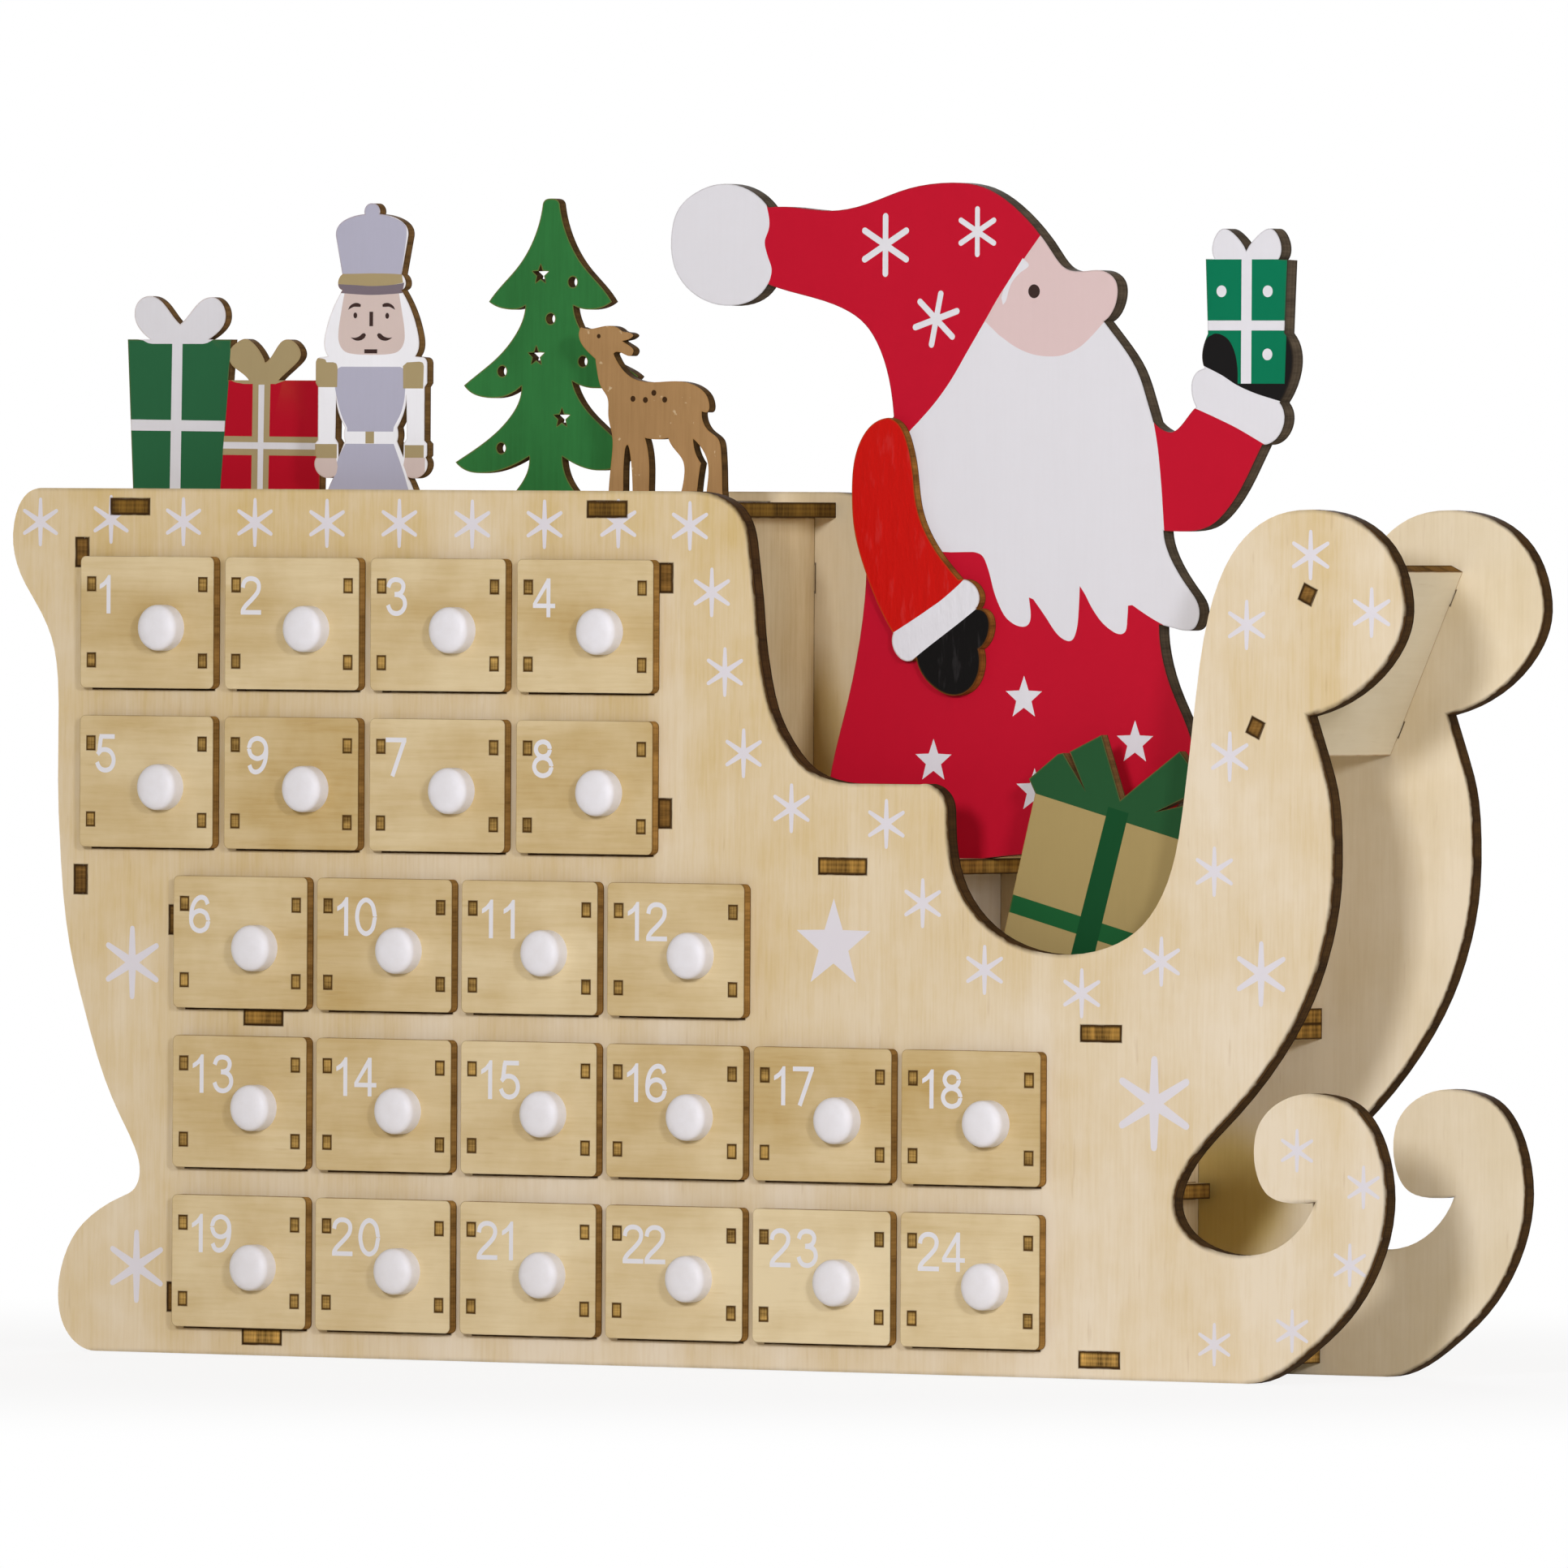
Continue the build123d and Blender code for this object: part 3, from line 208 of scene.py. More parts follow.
def piece(name, parts, material, body, node, turn=np.eye(3), tone=0.0, drift=(0, 0, 0)):
    """One mesh object from board arrays, put on its body in place of the CAD node.
    Its bare faces get darker by the tone, and by the drift for each metre along x, y and z."""
    shift = np.cumsum([0] + [len(part["points"]) for part in parts])
    points = np.concatenate([part["points"] for part in parts]) @ turn * MM
    corners = [np.concatenate((p["triangles"].ravel(), p["quads"].ravel())) + s for p, s in zip(parts, shift)]
    sizes = [np.repeat([3, 4], [len(p["triangles"]), len(p["quads"])]) for p in parts]
    paints = [np.full(len(s), p.get("paint", 0)) for p, s in zip(parts, sizes)]
    corners, sizes, paints = np.concatenate(corners), np.concatenate(sizes), np.concatenate(paints)
    mesh = bpy.data.meshes.new(name)
    mesh.vertices.add(len(points))
    mesh.vertices.foreach_set("co", points.ravel())
    mesh.loops.add(len(corners))
    mesh.loops.foreach_set("vertex_index", corners.astype(np.int32))
    mesh.polygons.add(len(sizes))
    mesh.polygons.foreach_set("loop_start", np.concatenate(([0], np.cumsum(sizes)[:-1])).astype(np.int32))
    mesh.update(calc_edges=True)
    mesh.polygons.foreach_set("use_smooth", np.ones(len(sizes), bool))
    mesh.polygons.foreach_set("material_index", paints.astype(np.int32))
    burn, ink, wall = (np.concatenate([part[label] for part in parts]) for label in ("burn", "ink", "wall"))
    tones = tone + points[corners] @ np.array(drift)
    for label, kind, entry, values in (("burn", "FLOAT", "value", burn), ("tone", "FLOAT", "value", tones),
                                       ("ink", "FLOAT_COLOR", "color", ink),
                                       ("wall", "FLOAT_VECTOR", "vector", wall)):
        mesh.attributes.new(label, kind, "CORNER").data.foreach_set(entry, values.ravel())
    mesh.set_sharp_from_angle(angle=SHARP_ANGLE)
    mesh.validate()
    for finish in material if isinstance(material, (list, tuple)) else [material]:
        mesh.materials.append(finish)
    made = bpy.data.objects.new(name, mesh)
    bpy.context.scene.collection.objects.link(made)
    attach(made, body)
    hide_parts(node)


def feed(tree, term, node, entry):
    """Gives a node's input its term: a value, or another node with the name of its output."""
    if isinstance(term, tuple) and isinstance(term[0], bpy.types.Node):
        tree.links.new(term[0].outputs[term[1]], node.inputs[entry])
    else:
        node.inputs[entry].default_value = term


def add(tree, kind, terms=None, **settings):
    """New shader node with its settings and the terms of its inputs."""
    made = tree.nodes.new("ShaderNode" + kind)
    for label, value in settings.items():
        setattr(made, label, value)
    for entry, term in (terms or {}).items():
        feed(tree, term, made, entry)
    return made


def noise(tree, where, scale, detail, rough, bend=0.0):
    terms = {"Vector": where, "Scale": scale, "Detail": detail, "Roughness": rough, "Distortion": bend}
    return add(tree, "TexNoise", terms), "Fac"


def mapping(tree, where, **terms):
    return add(tree, "Mapping", {"Vector": where, **terms}), "Vector"


def ramp(tree, term, low, high, low_to=0.0, high_to=1.0):
    """Smooth step of the term from low to high, giving low_to to high_to."""
    terms = {"Value": term, "From Min": low, "From Max": high, "To Min": low_to, "To Max": high_to}
    return add(tree, "MapRange", terms, interpolation_type="SMOOTHSTEP"), "Result"


def calc(tree, operation, *terms):
    return add(tree, "Math", dict(enumerate(terms)), operation=operation), "Value"


def mix(tree, share, under, over, kind="MIX"):
    """Colour mix; the node's colour sockets are its inputs 6 and 7 and its output 2."""
    return add(tree, "Mix", {0: share, 6: under, 7: over}, data_type="RGBA", blend_type=kind), 2


def tent(tree, term):
    """Half less the distance from a half: nought at both ends of the unit range, a half in its middle."""
    return calc(tree, "SUBTRACT", 0.5, calc(tree, "ABSOLUTE", calc(tree, "SUBTRACT", term, 0.5)))


def new_group(name, entries, results):
    """Empty shader group with its named sockets; returns the tree and its end nodes."""
    tree = bpy.data.node_groups.new(name, "ShaderNodeTree")
    for label, kind, value in entries:
        socket = tree.interface.new_socket(label, in_out="INPUT", socket_type="NodeSocket" + kind)
        if value is not None:
            socket.default_value = value
    for label, kind in results:
        tree.interface.new_socket(label, in_out="OUTPUT", socket_type="NodeSocket" + kind)
    return tree, tree.nodes.new("NodeGroupInput"), tree.nodes.new("NodeGroupOutput")


# Birch veneer: grain runs along the vector's Z, in soft bands with fine short streaks and a few brown flecks.
birch, birch_in, birch_out = new_group(
    "birch_veneer",
    [("Vector", "Vector", None), ("Pale", "Color", (0.7, 0.58, 0.38, 1)),
     ("Dark", "Color", (0.6, 0.45, 0.25, 1)), ("Streak", "Float", 0.5), ("Tone", "Float", 0.0)],
    [("Color", "Color"), ("Grain", "Float"), ("Height", "Float")])
FLECK_TINT = (0.62, 0.46, 0.28, 1)
place = (birch_in, "Vector")
bands = noise(birch, mapping(birch, place, Scale=(34, 34, 3.2)), 1.0, 4.0, 0.6, 0.4)
fine = noise(birch, mapping(birch, place, Scale=(950, 950, 55)), 1.0, 5.0, 0.65)
flecks = noise(birch, mapping(birch, place, Scale=(620, 620, 70)), 1.0, 2.0, 0.5)
clouds = noise(birch, place, 30.0, 4.0, 0.6)
streaks = calc(birch, "MULTIPLY", ramp(birch, fine, 0.35, 0.75), (birch_in, "Streak"))
banded = calc(birch, "ADD", streaks, calc(birch, "MULTIPLY", ramp(birch, bands, 0.3, 0.7), 0.4))
grain = calc(birch, "ADD", banded, ramp(birch, clouds, 0.3, 0.7, -0.16, 0.2))
toned = calc(birch, "ADD", grain, (birch_in, "Tone"))
wood = mix(birch, toned, (birch_in, "Pale"), (birch_in, "Dark"))
fleck_share = calc(birch, "MULTIPLY", ramp(birch, flecks, 0.66, 0.8), 0.2)
feed(birch, mix(birch, fleck_share, wood, FLECK_TINT, "MULTIPLY"), birch_out, "Color")
feed(birch, grain, birch_out, "Grain")
feed(birch, fine, birch_out, "Height")

# Burnt laser cut: a scorch line on the face beside the cut, and brown char on the cut itself. Burn is nought to
# one on a face and two to three across a cut; Wall holds the share along a cut piece and its length in mm.
burnt, burnt_in, burnt_out = new_group(
    "burnt_cut",
    [("Vector", "Vector", None), ("Face", "Color", (0.7, 0.6, 0.4, 1)), ("Burn", "Float", 0.0),
     ("Scorch", "Color", (0.3, 0.17, 0.05, 1)), ("Char dark", "Color", (0.02, 0.012, 0.006, 1)),
     ("Char light", "Color", (0.1, 0.06, 0.02, 1)), ("Line", "Float", 0.7), ("Wall", "Vector", None),
     ("Ends", "Float", 0.0)],
    [("Color", "Color"), ("Char", "Float")])
PLY_LAYERS = 3
burn = (burnt_in, "Burn")
haze = noise(burnt, (burnt_in, "Vector"), 260.0, 2.0, 0.5)
speckle = noise(burnt, (burnt_in, "Vector"), 1700.0, 4.0, 0.65)
is_cut = calc(burnt, "GREATER_THAN", burn, 1.5)
hazy = calc(burnt, "MULTIPLY", ramp(burnt, burn, 0.1, 1.0), ramp(burnt, haze, 0.3, 0.7, 0.7, 1.1))
line_share = calc(burnt, "MULTIPLY", hazy, (burnt_in, "Line"))
scorched = mix(burnt, line_share, (burnt_in, "Face"), (burnt_in, "Scorch"))

# Char is darkest along the rim of a cut and browner in its middle, with ply layers and fine speckle across it.
# Where Ends is one, it is dark at both ends of each cut piece too, so the end of a tenon is framed dark all
# round: partly char, partly painted shade of the gap round the tenon in its slot.
across_ply = ramp(burnt, tent(burnt, calc(burnt, "SUBTRACT", burn, 2.0)), 0.02, 0.2)
wall_parts = add(burnt, "SeparateXYZ", {"Vector": (burnt_in, "Wall")})
from_end = calc(burnt, "MULTIPLY", tent(burnt, (wall_parts, "X")), (wall_parts, "Y"))
at_ends = calc(burnt, "MULTIPLY", ramp(burnt, from_end, 0.05, 0.7), (burnt_in, "Ends"))
open_wall = calc(burnt, "ADD", at_ends, calc(burnt, "SUBTRACT", 1.0, (burnt_in, "Ends")))
layers = calc(burnt, "SINE", calc(burnt, "MULTIPLY", burn, PLY_LAYERS * 2 * np.pi))
patches = calc(burnt, "ADD", ramp(burnt, speckle, 0.3, 0.72, 0.1, 0.5), ramp(burnt, haze, 0.3, 0.7, 0.0, 0.5))
brown = calc(burnt, "ADD", patches, calc(burnt, "MULTIPLY", layers, 0.1))
rimmed = calc(burnt, "MULTIPLY", brown, calc(burnt, "MULTIPLY", across_ply, open_wall))
char_and_gap_shade = mix(burnt, rimmed, (burnt_in, "Char dark"), (burnt_in, "Char light"))
feed(burnt, mix(burnt, is_cut, scorched, char_and_gap_shade), burnt_out, "Color")
feed(burnt, is_cut, burnt_out, "Char")


def new_material(name):
    made = bpy.data.materials.new(name)
    made.use_nodes = True
    return made, made.node_tree


def attribute(tree, name, output="Fac"):
    return add(tree, "Attribute", attribute_name=name), output


# Colours that thin paint takes from the grain under it and that brush marks add.
GRAIN_TINT, BRUSH_TINT = (0.55, 0.52, 0.46, 1), (0.012, 0.011, 0.011, 1)
CHAR_ROUGH = 0.85


def plywood(name, pale, dark, grain, thin, streak=0.35, char=((46, 31, 16), (98, 70, 34)), line=0.75,
            scorch=(150, 106, 48), show=0.0, rough=0.62, ends=0.0, shine=0.05, brush=0.0, worn=1.0, painted_shades=()):
    """Cut and printed plywood. grain and thin name the axes that the grain and the thickness run along; show is
    how far the grain shows in the paint, brush is the depth of brush marks in mm, and paint is rubbed off where
    its noise passes worn. painted_shades holds the centre and radii in mm, and the tint, of each spot of painted
    shade on the wood."""
    made, tree = new_material(name)
    shader = tree.nodes["Principled BSDF"]
    where = (add(tree, "TexCoord"), "Object")
    turn = {"x": (0, 90, 0), "y": (90, 0, 0), "z": (0, 0, 0)}[grain]
    veneer = add(tree, "Group", {
        "Vector": mapping(tree, where, Rotation=np.radians(turn)), "Pale": srgb(*pale), "Dark": srgb(*dark),
        "Streak": streak, "Tone": attribute(tree, "tone")}, node_tree=birch)
    relief = add(tree, "Bump", {"Strength": 0.12, "Distance": 0.2 * MM, "Height": (veneer, "Height")})
    wood = (veneer, "Color")
    # Each of these spots is painted shade: it darkens the wood to a warm tint where shadow falls in a hollow.
    for centre, radii, tint in painted_shades:
        spot = mapping(tree, where, Scale=1 / (np.array(radii) * MM), Location=-np.array(centre) / radii)
        painted_shade = add(tree, "TexGradient", {"Vector": spot}, gradient_type="SPHERICAL")
        wood = mix(tree, ramp(tree, (painted_shade, "Fac"), 0.0, 0.6), wood, (*tint, 1), "MULTIPLY")
    printed = attribute(tree, "ink", "Color")
    paint = mix(tree, calc(tree, "MULTIPLY", (veneer, "Grain"), show), printed, GRAIN_TINT, "MULTIPLY")
    cover = (printed[0], "Alpha")
    if brush:
        along = mapping(tree, where, Scale=(420, 120, 110), Rotation=(0, np.radians(-12), 0))
        marks = noise(tree, along, 1.0, 3.0, 0.55)
        paint = mix(tree, ramp(tree, marks, 0.55, 0.72), paint, BRUSH_TINT, "ADD")
        relief = add(tree, "Bump", {
            "Strength": 0.6, "Distance": brush * MM, "Height": marks, "Normal": (relief, "Normal")})
    if worn < 1.0:
        rubbed = noise(tree, where, 330.0, 3.0, 0.6)
        cover = calc(tree, "MULTIPLY", cover, ramp(tree, rubbed, worn, worn + 0.05, 1.0, 0.35))
    across = mapping(tree, where, Scale=[0.06 if letter == thin else 1.0 for letter in "xyz"])
    cut = add(tree, "Group", {
        "Vector": across, "Face": mix(tree, cover, wood, paint), "Burn": attribute(tree, "burn"),
        "Wall": attribute(tree, "wall", "Vector"), "Scorch": srgb(*scorch), "Char dark": srgb(*char[0]),
        "Char light": srgb(*char[1]), "Line": line, "Ends": ends}, node_tree=burnt)
    feed(tree, (cut, "Color"), shader, "Base Color")
    feed(tree, ramp(tree, (cut, "Char"), 0.0, 1.0, rough, CHAR_ROUGH), shader, "Roughness")
    feed(tree, shine, shader, "Specular IOR Level")
    feed(tree, (relief, "Normal"), shader, "Normal")
    return made


INNER_PALE, INNER_DARK = (224, 205, 168), (198, 172, 126)
CHAR_DARK, PLATE_BROWN, WALL_BROWN = (60, 41, 18), (180, 136, 64), (140, 102, 48)
# Cut ends of the top plate are darker than those of the other plates, and the bottom plate's are paler.
PLATE_BROWNS = {"top_plate": (134, 99, 40), "bottom_plate": (214, 168, 88)}
# Glue fills the air over each tenon.
GLUE = 0.09
for node in ("bottom_plate", "floor_plate", "footwell_board", "seat_plate", "top_plate", "lower_row_shelf",
             "upper_row_shelf"):
    level_ply = plywood(node + "_ply", INNER_PALE, INNER_DARK, "x", "z", ends=1.0,
                        char=(CHAR_DARK, PLATE_BROWNS.get(node, PLATE_BROWN)))
    boards = [board(*face[:-1], face[-1] + GLUE) for face in low_faces(node, 2)]
    piece(node + "_cut", boards, level_ply, "carcass", node)
WALL_LOOK = {"char": (CHAR_DARK, WALL_BROWN), "scorch": (104, 72, 34), "line": 0.9, "ends": 1.0}
# The seat wall's plywood is paler and greyer than the other walls', partly painted light on its face in the
# footwell.
seat_ply = plywood("seat_ply", (236, 229, 216), (222, 210, 190), "z", "x", **WALL_LOOK)
upright_ply = plywood("upright_ply", INNER_PALE, INNER_DARK, "z", "x", **WALL_LOOK)
for node in ("lower_left_wall", "lower_right_wall", "upper_left_wall", "upper_right_wall", "seat_wall",
             "lower_dividers", "middle_dividers", "upper_dividers"):
    boards = [board(*face) for face in low_faces(node, 0)]
    piece(node + "_cut", boards, seat_ply if node == "seat_wall" else upright_ply, "carcass", node)

# Slanting plate between the upper scrolls: the same plywood, cut by laser,
# with two tenons glued into each panel.
DASH_TILT = np.radians(24.5)
cosine, sine = np.cos(DASH_TILT), np.sin(DASH_TILT)
lean = np.array([[cosine, 0, -sine], [0, 1, 0], [sine, 0, cosine]])
dash_ply = plywood("dash_ply", (220, 208, 180), (203, 187, 152), "y", "x", streak=0.15,
                   char=(CHAR_DARK, WALL_BROWN), ends=1.0)
boards = [board(*face) for face in low_faces("dash_plate", 0, lean)]
piece("dash_plate_cut", boards, dash_ply, "carcass", "dash_plate", turn=lean)

# Back panel: the sleigh outline in pale birch plywood, cut by laser and unprinted, with the tenons in its slots.
# Two spots of painted warm shade lie on its inner face, inside the lower scroll and beside the seat.
PANEL_CHAR, PANEL_SCORCH = ((42, 29, 16), (80, 57, 30)), (70, 48, 23)
back_ply = plywood("back_ply", (226, 212, 183), (205, 185, 141), "z", "y", streak=0.2, char=PANEL_CHAR,
                   scorch=PANEL_SCORCH, line=1.2,
                   painted_shades=[((124, 36.85, 46), (27, 3.6, 27), (0.82, 0.72, 0.36)),
                           ((-7, 36.85, 165), (15, 3.6, 30), (0.80, 0.72, 0.50))])
boards = [board(*face, rim_width=1.3) for face in low_faces("back_panel", 1)]
piece("back_panel_cut", boards, back_ply, "carcass", "back_panel")

# Front panel: the same outline with the drawer openings, of birch plywood cut by laser and printed in white
# with snowflakes and one star; the plates and walls are glued into its slots.
panel_ply = plywood("panel_ply", (222, 207, 180), (200, 172, 112), "z", "y", streak=0.2, char=PANEL_CHAR,
                    scorch=PANEL_SCORCH, line=1.3)
FLAKE_WHITE = srgb(213, 208, 210)


def snowflake(x, z, reach):
    """Six arms of a printed flake: each narrows from the valleys beside it to a blunt tip."""
    arm = np.arange(6)[:, None] * np.pi / 3
    out = np.stack((np.sin(arm), np.cos(arm)), axis=2)
    side = np.stack((np.cos(arm), -np.sin(arm)), axis=2)
    corners = [(0.2, -0.118), (0.93, -0.078), (0.985, -0.05), (1.0, 0.0), (0.985, 0.05), (0.93, 0.078)]
    flake = np.concatenate([along * out + off * side for along, off in corners], axis=1).reshape(-1, 2)
    return flake * reach + (x, z)


def star(x, z, reach, waist=0.42):
    """Ten corners of a five-pointed star, far and near by turns."""
    turn = np.arange(10) * np.pi / 5
    far = np.where(np.arange(10) % 2 == 0, reach, reach * waist)
    return np.stack((x + far * np.sin(turn), z + far * np.cos(turn)), axis=1)


FLAKES = [
    (-213.4, 223.6, 6.6), (-190.1, 224.4, 6.6), (-166.3, 223.9, 6.6), (-142.9, 223.8, 6.6), (-119.4, 223.7, 6.6),
    (-95.9, 223.8, 6.6), (-72.3, 223.7, 6.6), (-49.0, 223.8, 6.6), (-25.3, 224.1, 6.6), (-2.4, 223.6, 6.6),
    (4.7, 206.0, 6.6), (9.0, 184.9, 6.6), (15.1, 163.4, 6.6), (30.4, 149.0, 6.6), (60.5, 145.2, 6.6),
    (72.1, 124.4, 6.6), (91.7, 107.1, 6.6), (122.2, 101.4, 6.6), (147.0, 110.1, 6.6), (163.3, 133.9, 6.6),
    (167.9, 164.1, 6.6), (172.9, 198.6, 6.6), (192.6, 217.0, 6.6), (211.5, 202.1, 6.6), (178.0, 107.3, 8.6),
    (-182.4, 105.0, 9.9), (-180.5, 23.1, 9.9), (145.0, 72.8, 12.5), (189.4, 61.3, 5.7), (210.0, 52.1, 5.7),
    (205.9, 31.7, 5.7), (188.2, 14.1, 5.7), (164.1, 10.0, 5.7),
]
prints = [(FLAKE_WHITE, snowflake(*flake)) for flake in FLAKES]
prints.append((FLAKE_WHITE, star(44.0, 113.0, 12.3, 0.4)))
boards = [board(*face, prints, rim_width=1.8) for face in low_faces("front_panel", 1)]
# Its veneer is darker towards the left, as the sheet's own tone, and paler towards the bottom, which is painted
# light, as if thrown up from the pale floor.
piece("front_panel_cut", boards, panel_ply, "carcass", "front_panel", tone=-0.06,
      drift=(-0.55, 0, 1.3))

# Standing figures on the top plate: thin plywood cut to outline by laser, printed on the front only,
# with tabs below that are glued into slots in the plate.
WHITE, GOLD, PINK = (217, 215, 216), (165, 147, 106), (206, 187, 177)
FIGURE_WOOD = (214, 194, 158), (190, 163, 118), "z", "y"
print_ply = plywood("print_ply", *FIGURE_WOOD, line=0.3, show=0.1, shine=0.1,
                    char=((66, 46, 24), (132, 98, 56)))


def rectangle(left, right, low, high):
    return np.array([(left, low), (right, low), (right, high), (left, high)])


def painted(node, colour, inks, material):
    """A flat figure: its whole face in one ground colour, with the inks over it."""
    low, high = [np.array(corner)[[0, 2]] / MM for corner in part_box(node)]
    ground = rectangle(low[0] - 1, high[0] + 1, low[1] - 1, high[1] + 1)
    layers = [(srgb(*ink), shape) for ink, shape in [(colour, ground), *inks]]
    boards = [board(*face, layers) for face in low_faces(node, 1)]
    piece(node + "_cut", boards, material, "carcass", node)


# Fir tree: plywood stained green by brush so that the grain shows, pierced with three stars and five round holes,
# with tabs that are glued into the top plate.
STAIN_CHAR = ((50, 35, 18), (100, 74, 40))
tree_ply = plywood("tree_ply", *FIGURE_WOOD, line=0.45, show=0.7, streak=0.3, shine=0.06, char=STAIN_CHAR,
                   worn=0.74)
painted("fir_tree", (49, 116, 59), [], tree_ply)

# Reindeer: plywood stained brown, with its eye and the spots on its back burnt in,
# and with tabs that are glued into the top plate.
SPOT = (62, 40, 20)


def disc(x, z, radius):
    turn = np.arange(20) * np.pi / 10
    return np.stack((x + radius * np.cos(turn), z + radius * np.sin(turn)), axis=1)


spots = [(SPOT, disc(-44.0, 274.1, 0.6))]
spots += [(SPOT, disc(x, z, 0.8)) for x, z in ((-32.9, 257.4), (-28.9, 257.1), (-26.2, 259.0), (-22.7, 257.2))]
deer_ply = plywood("deer_ply", *FIGURE_WOOD, line=0.45, show=0.6, streak=0.4, shine=0.06, char=STAIN_CHAR,
                   worn=0.67)
painted("reindeer", (168, 131, 86), spots, deer_ply)

# Pair of parcels: one piece of plywood with tabs in the top plate, printed as a tall green parcel
# with white ribbon and a low red one with gold ribbon.
RED = (176, 10, 34)


def smooth(points, steps=6):
    """Catmull-Rom curve through given points; the ends keep their own direction."""
    near = np.array(points, float)
    near = np.concatenate((2 * near[:1] - near[1:2], near, 2 * near[-1:] - near[-2:-1]))
    t = np.linspace(0, 1, steps, endpoint=False)[None, :, None]
    a, b, c, d = (near[i:len(near) - 3 + i, None] for i in range(4))
    curve = 0.5 * (2 * b + (c - a) * t + (2 * a - 5 * b + 4 * c - d) * t ** 2 + (3 * b - a - 3 * c + d) * t ** 3)
    return np.concatenate((curve.reshape(-1, 2), near[-2:-1]))


def region(*runs):
    """Closed shape of several runs: three points or more are a smooth curve, fewer are straight."""
    return np.concatenate([smooth(run) if len(run) > 2 else np.array(run, float) for run in runs])


parcels = [
    (RED, region([(-173.9, 262.6), (-176.6, 232.0)], [(-140, 232.0), (-140, 262.6)])),
    (GOLD, region([(-180, 290), (-173.2, 273.3)], [(-173.9, 262.6), (-172, 261.7), (-168.9, 261.2)],
                  [(-158.5, 261.2), (-156.5, 261.8), (-154, 262.6)], [(-140, 262.6), (-140, 290)])),
    (GOLD, np.array([(-166.4, 232), (-160.8, 232), (-160.2, 262), (-166.0, 262)])),
    (GOLD, np.array([(-175.8, 242.0), (-144, 241.8), (-144, 246.9), (-175.4, 247.1)])),
    (WHITE, np.array([(-164.4, 232), (-162.6, 232), (-162.2, 261.0), (-164.1, 261.0)])),
    (WHITE, np.array([(-175.7, 243.7), (-144, 243.5), (-144, 245.3), (-175.5, 245.5)])),
    (WHITE, region([(-210, 273.2), (-204, 273.2)], [(-202.2, 272.9), (-200.5, 272.2), (-199, 272.0)],
                   [(-182.5, 272.0), (-181, 272.3), (-179, 273.2)],
                   [(-174.5, 273.2), (-174.5, 292), (-210, 292)])),
    (WHITE, np.array([(-193.2, 232), (-189.7, 232), (-189.2, 273), (-192.6, 273)])),
    (WHITE, np.array([(-206.4, 248.5), (-175.3, 248.3), (-175.1, 251.2), (-206.2, 251.5)])),
]
painted("gift_pair", (38, 94, 58), parcels, print_ply)

# Nutcracker: plywood with tabs in the top plate, printed with a lavender uniform, gold braid, white hair, a beard
# and a doll's plain face. The print lies a little to the left of the cut, so its white ground shows at the right.
LAVENDER, BAND, BROW = (174, 172, 186), (118, 106, 112), (58, 40, 36)
MIDDLE, LEFT = -117.6, -142.0


def mirrored(shape, middle):
    return shape * (-1, 1) + (2 * middle, 0)


face = region([(-126.4, 286), (-127.4, 281), (-128.3, 276), (-128.2, 272.4), (-126.4, 270.0), (-123, 269.2),
               (-117.6, 269.0)])
brow = region([(-125.3, 281.1), (-124.6, 282.2), (-123.2, 282.9), (-121.9, 282.9), (-121.1, 282.5)],
              [(-121.2, 281.9), (-122.2, 281.9), (-123.4, 281.9), (-124.4, 281.5), (-125.3, 281.1)])
lip = region([(-124.4, 273.7), (-123.0, 273.6), (-121.6, 274.0), (-120.6, 274.7), (-119.8, 274.8),
              (-119.4, 274.3)],
             [(-119.8, 273.6), (-120.8, 273.0), (-122.2, 272.8), (-123.4, 273.1), (-124.4, 273.7)])
eye = disc(0, 0, 0.62) * (1, 1.3)
hat = region([(LEFT, 290), (LEFT, 315), (-114.8, 315)],
             [(-115.2, 307.2), (-110.5, 305.8), (-107.4, 304.4), (-106.4, 302.9), (-106.3, 301.0)],
             [(-108.0, 290.3)])
chest = region([(-129.4, 263.6), (-128.6, 265.2), (-127.4, 265.8)],
               [(-108.2, 265.8), (-107.2, 265.2), (-106.7, 263.6)],
               [(-106.5, 260), (-106.9, 256.6), (-108.0, 253.2), (-110.2, 249.6)],
               [(-110.4, 248.4), (-125.4, 248.4)],
               [(-125.4, 249.4), (-127.1, 252.4), (-128.4, 256), (-129.4, 260)])
skirt = np.array([(-125.9, 245.1), (-110.2, 245.1), (-108.4, 241.0), (-106.6, 236.6), (-104.0, 229), (LEFT, 229),
                  (-129.4, 238), (-128.2, 241.4)])
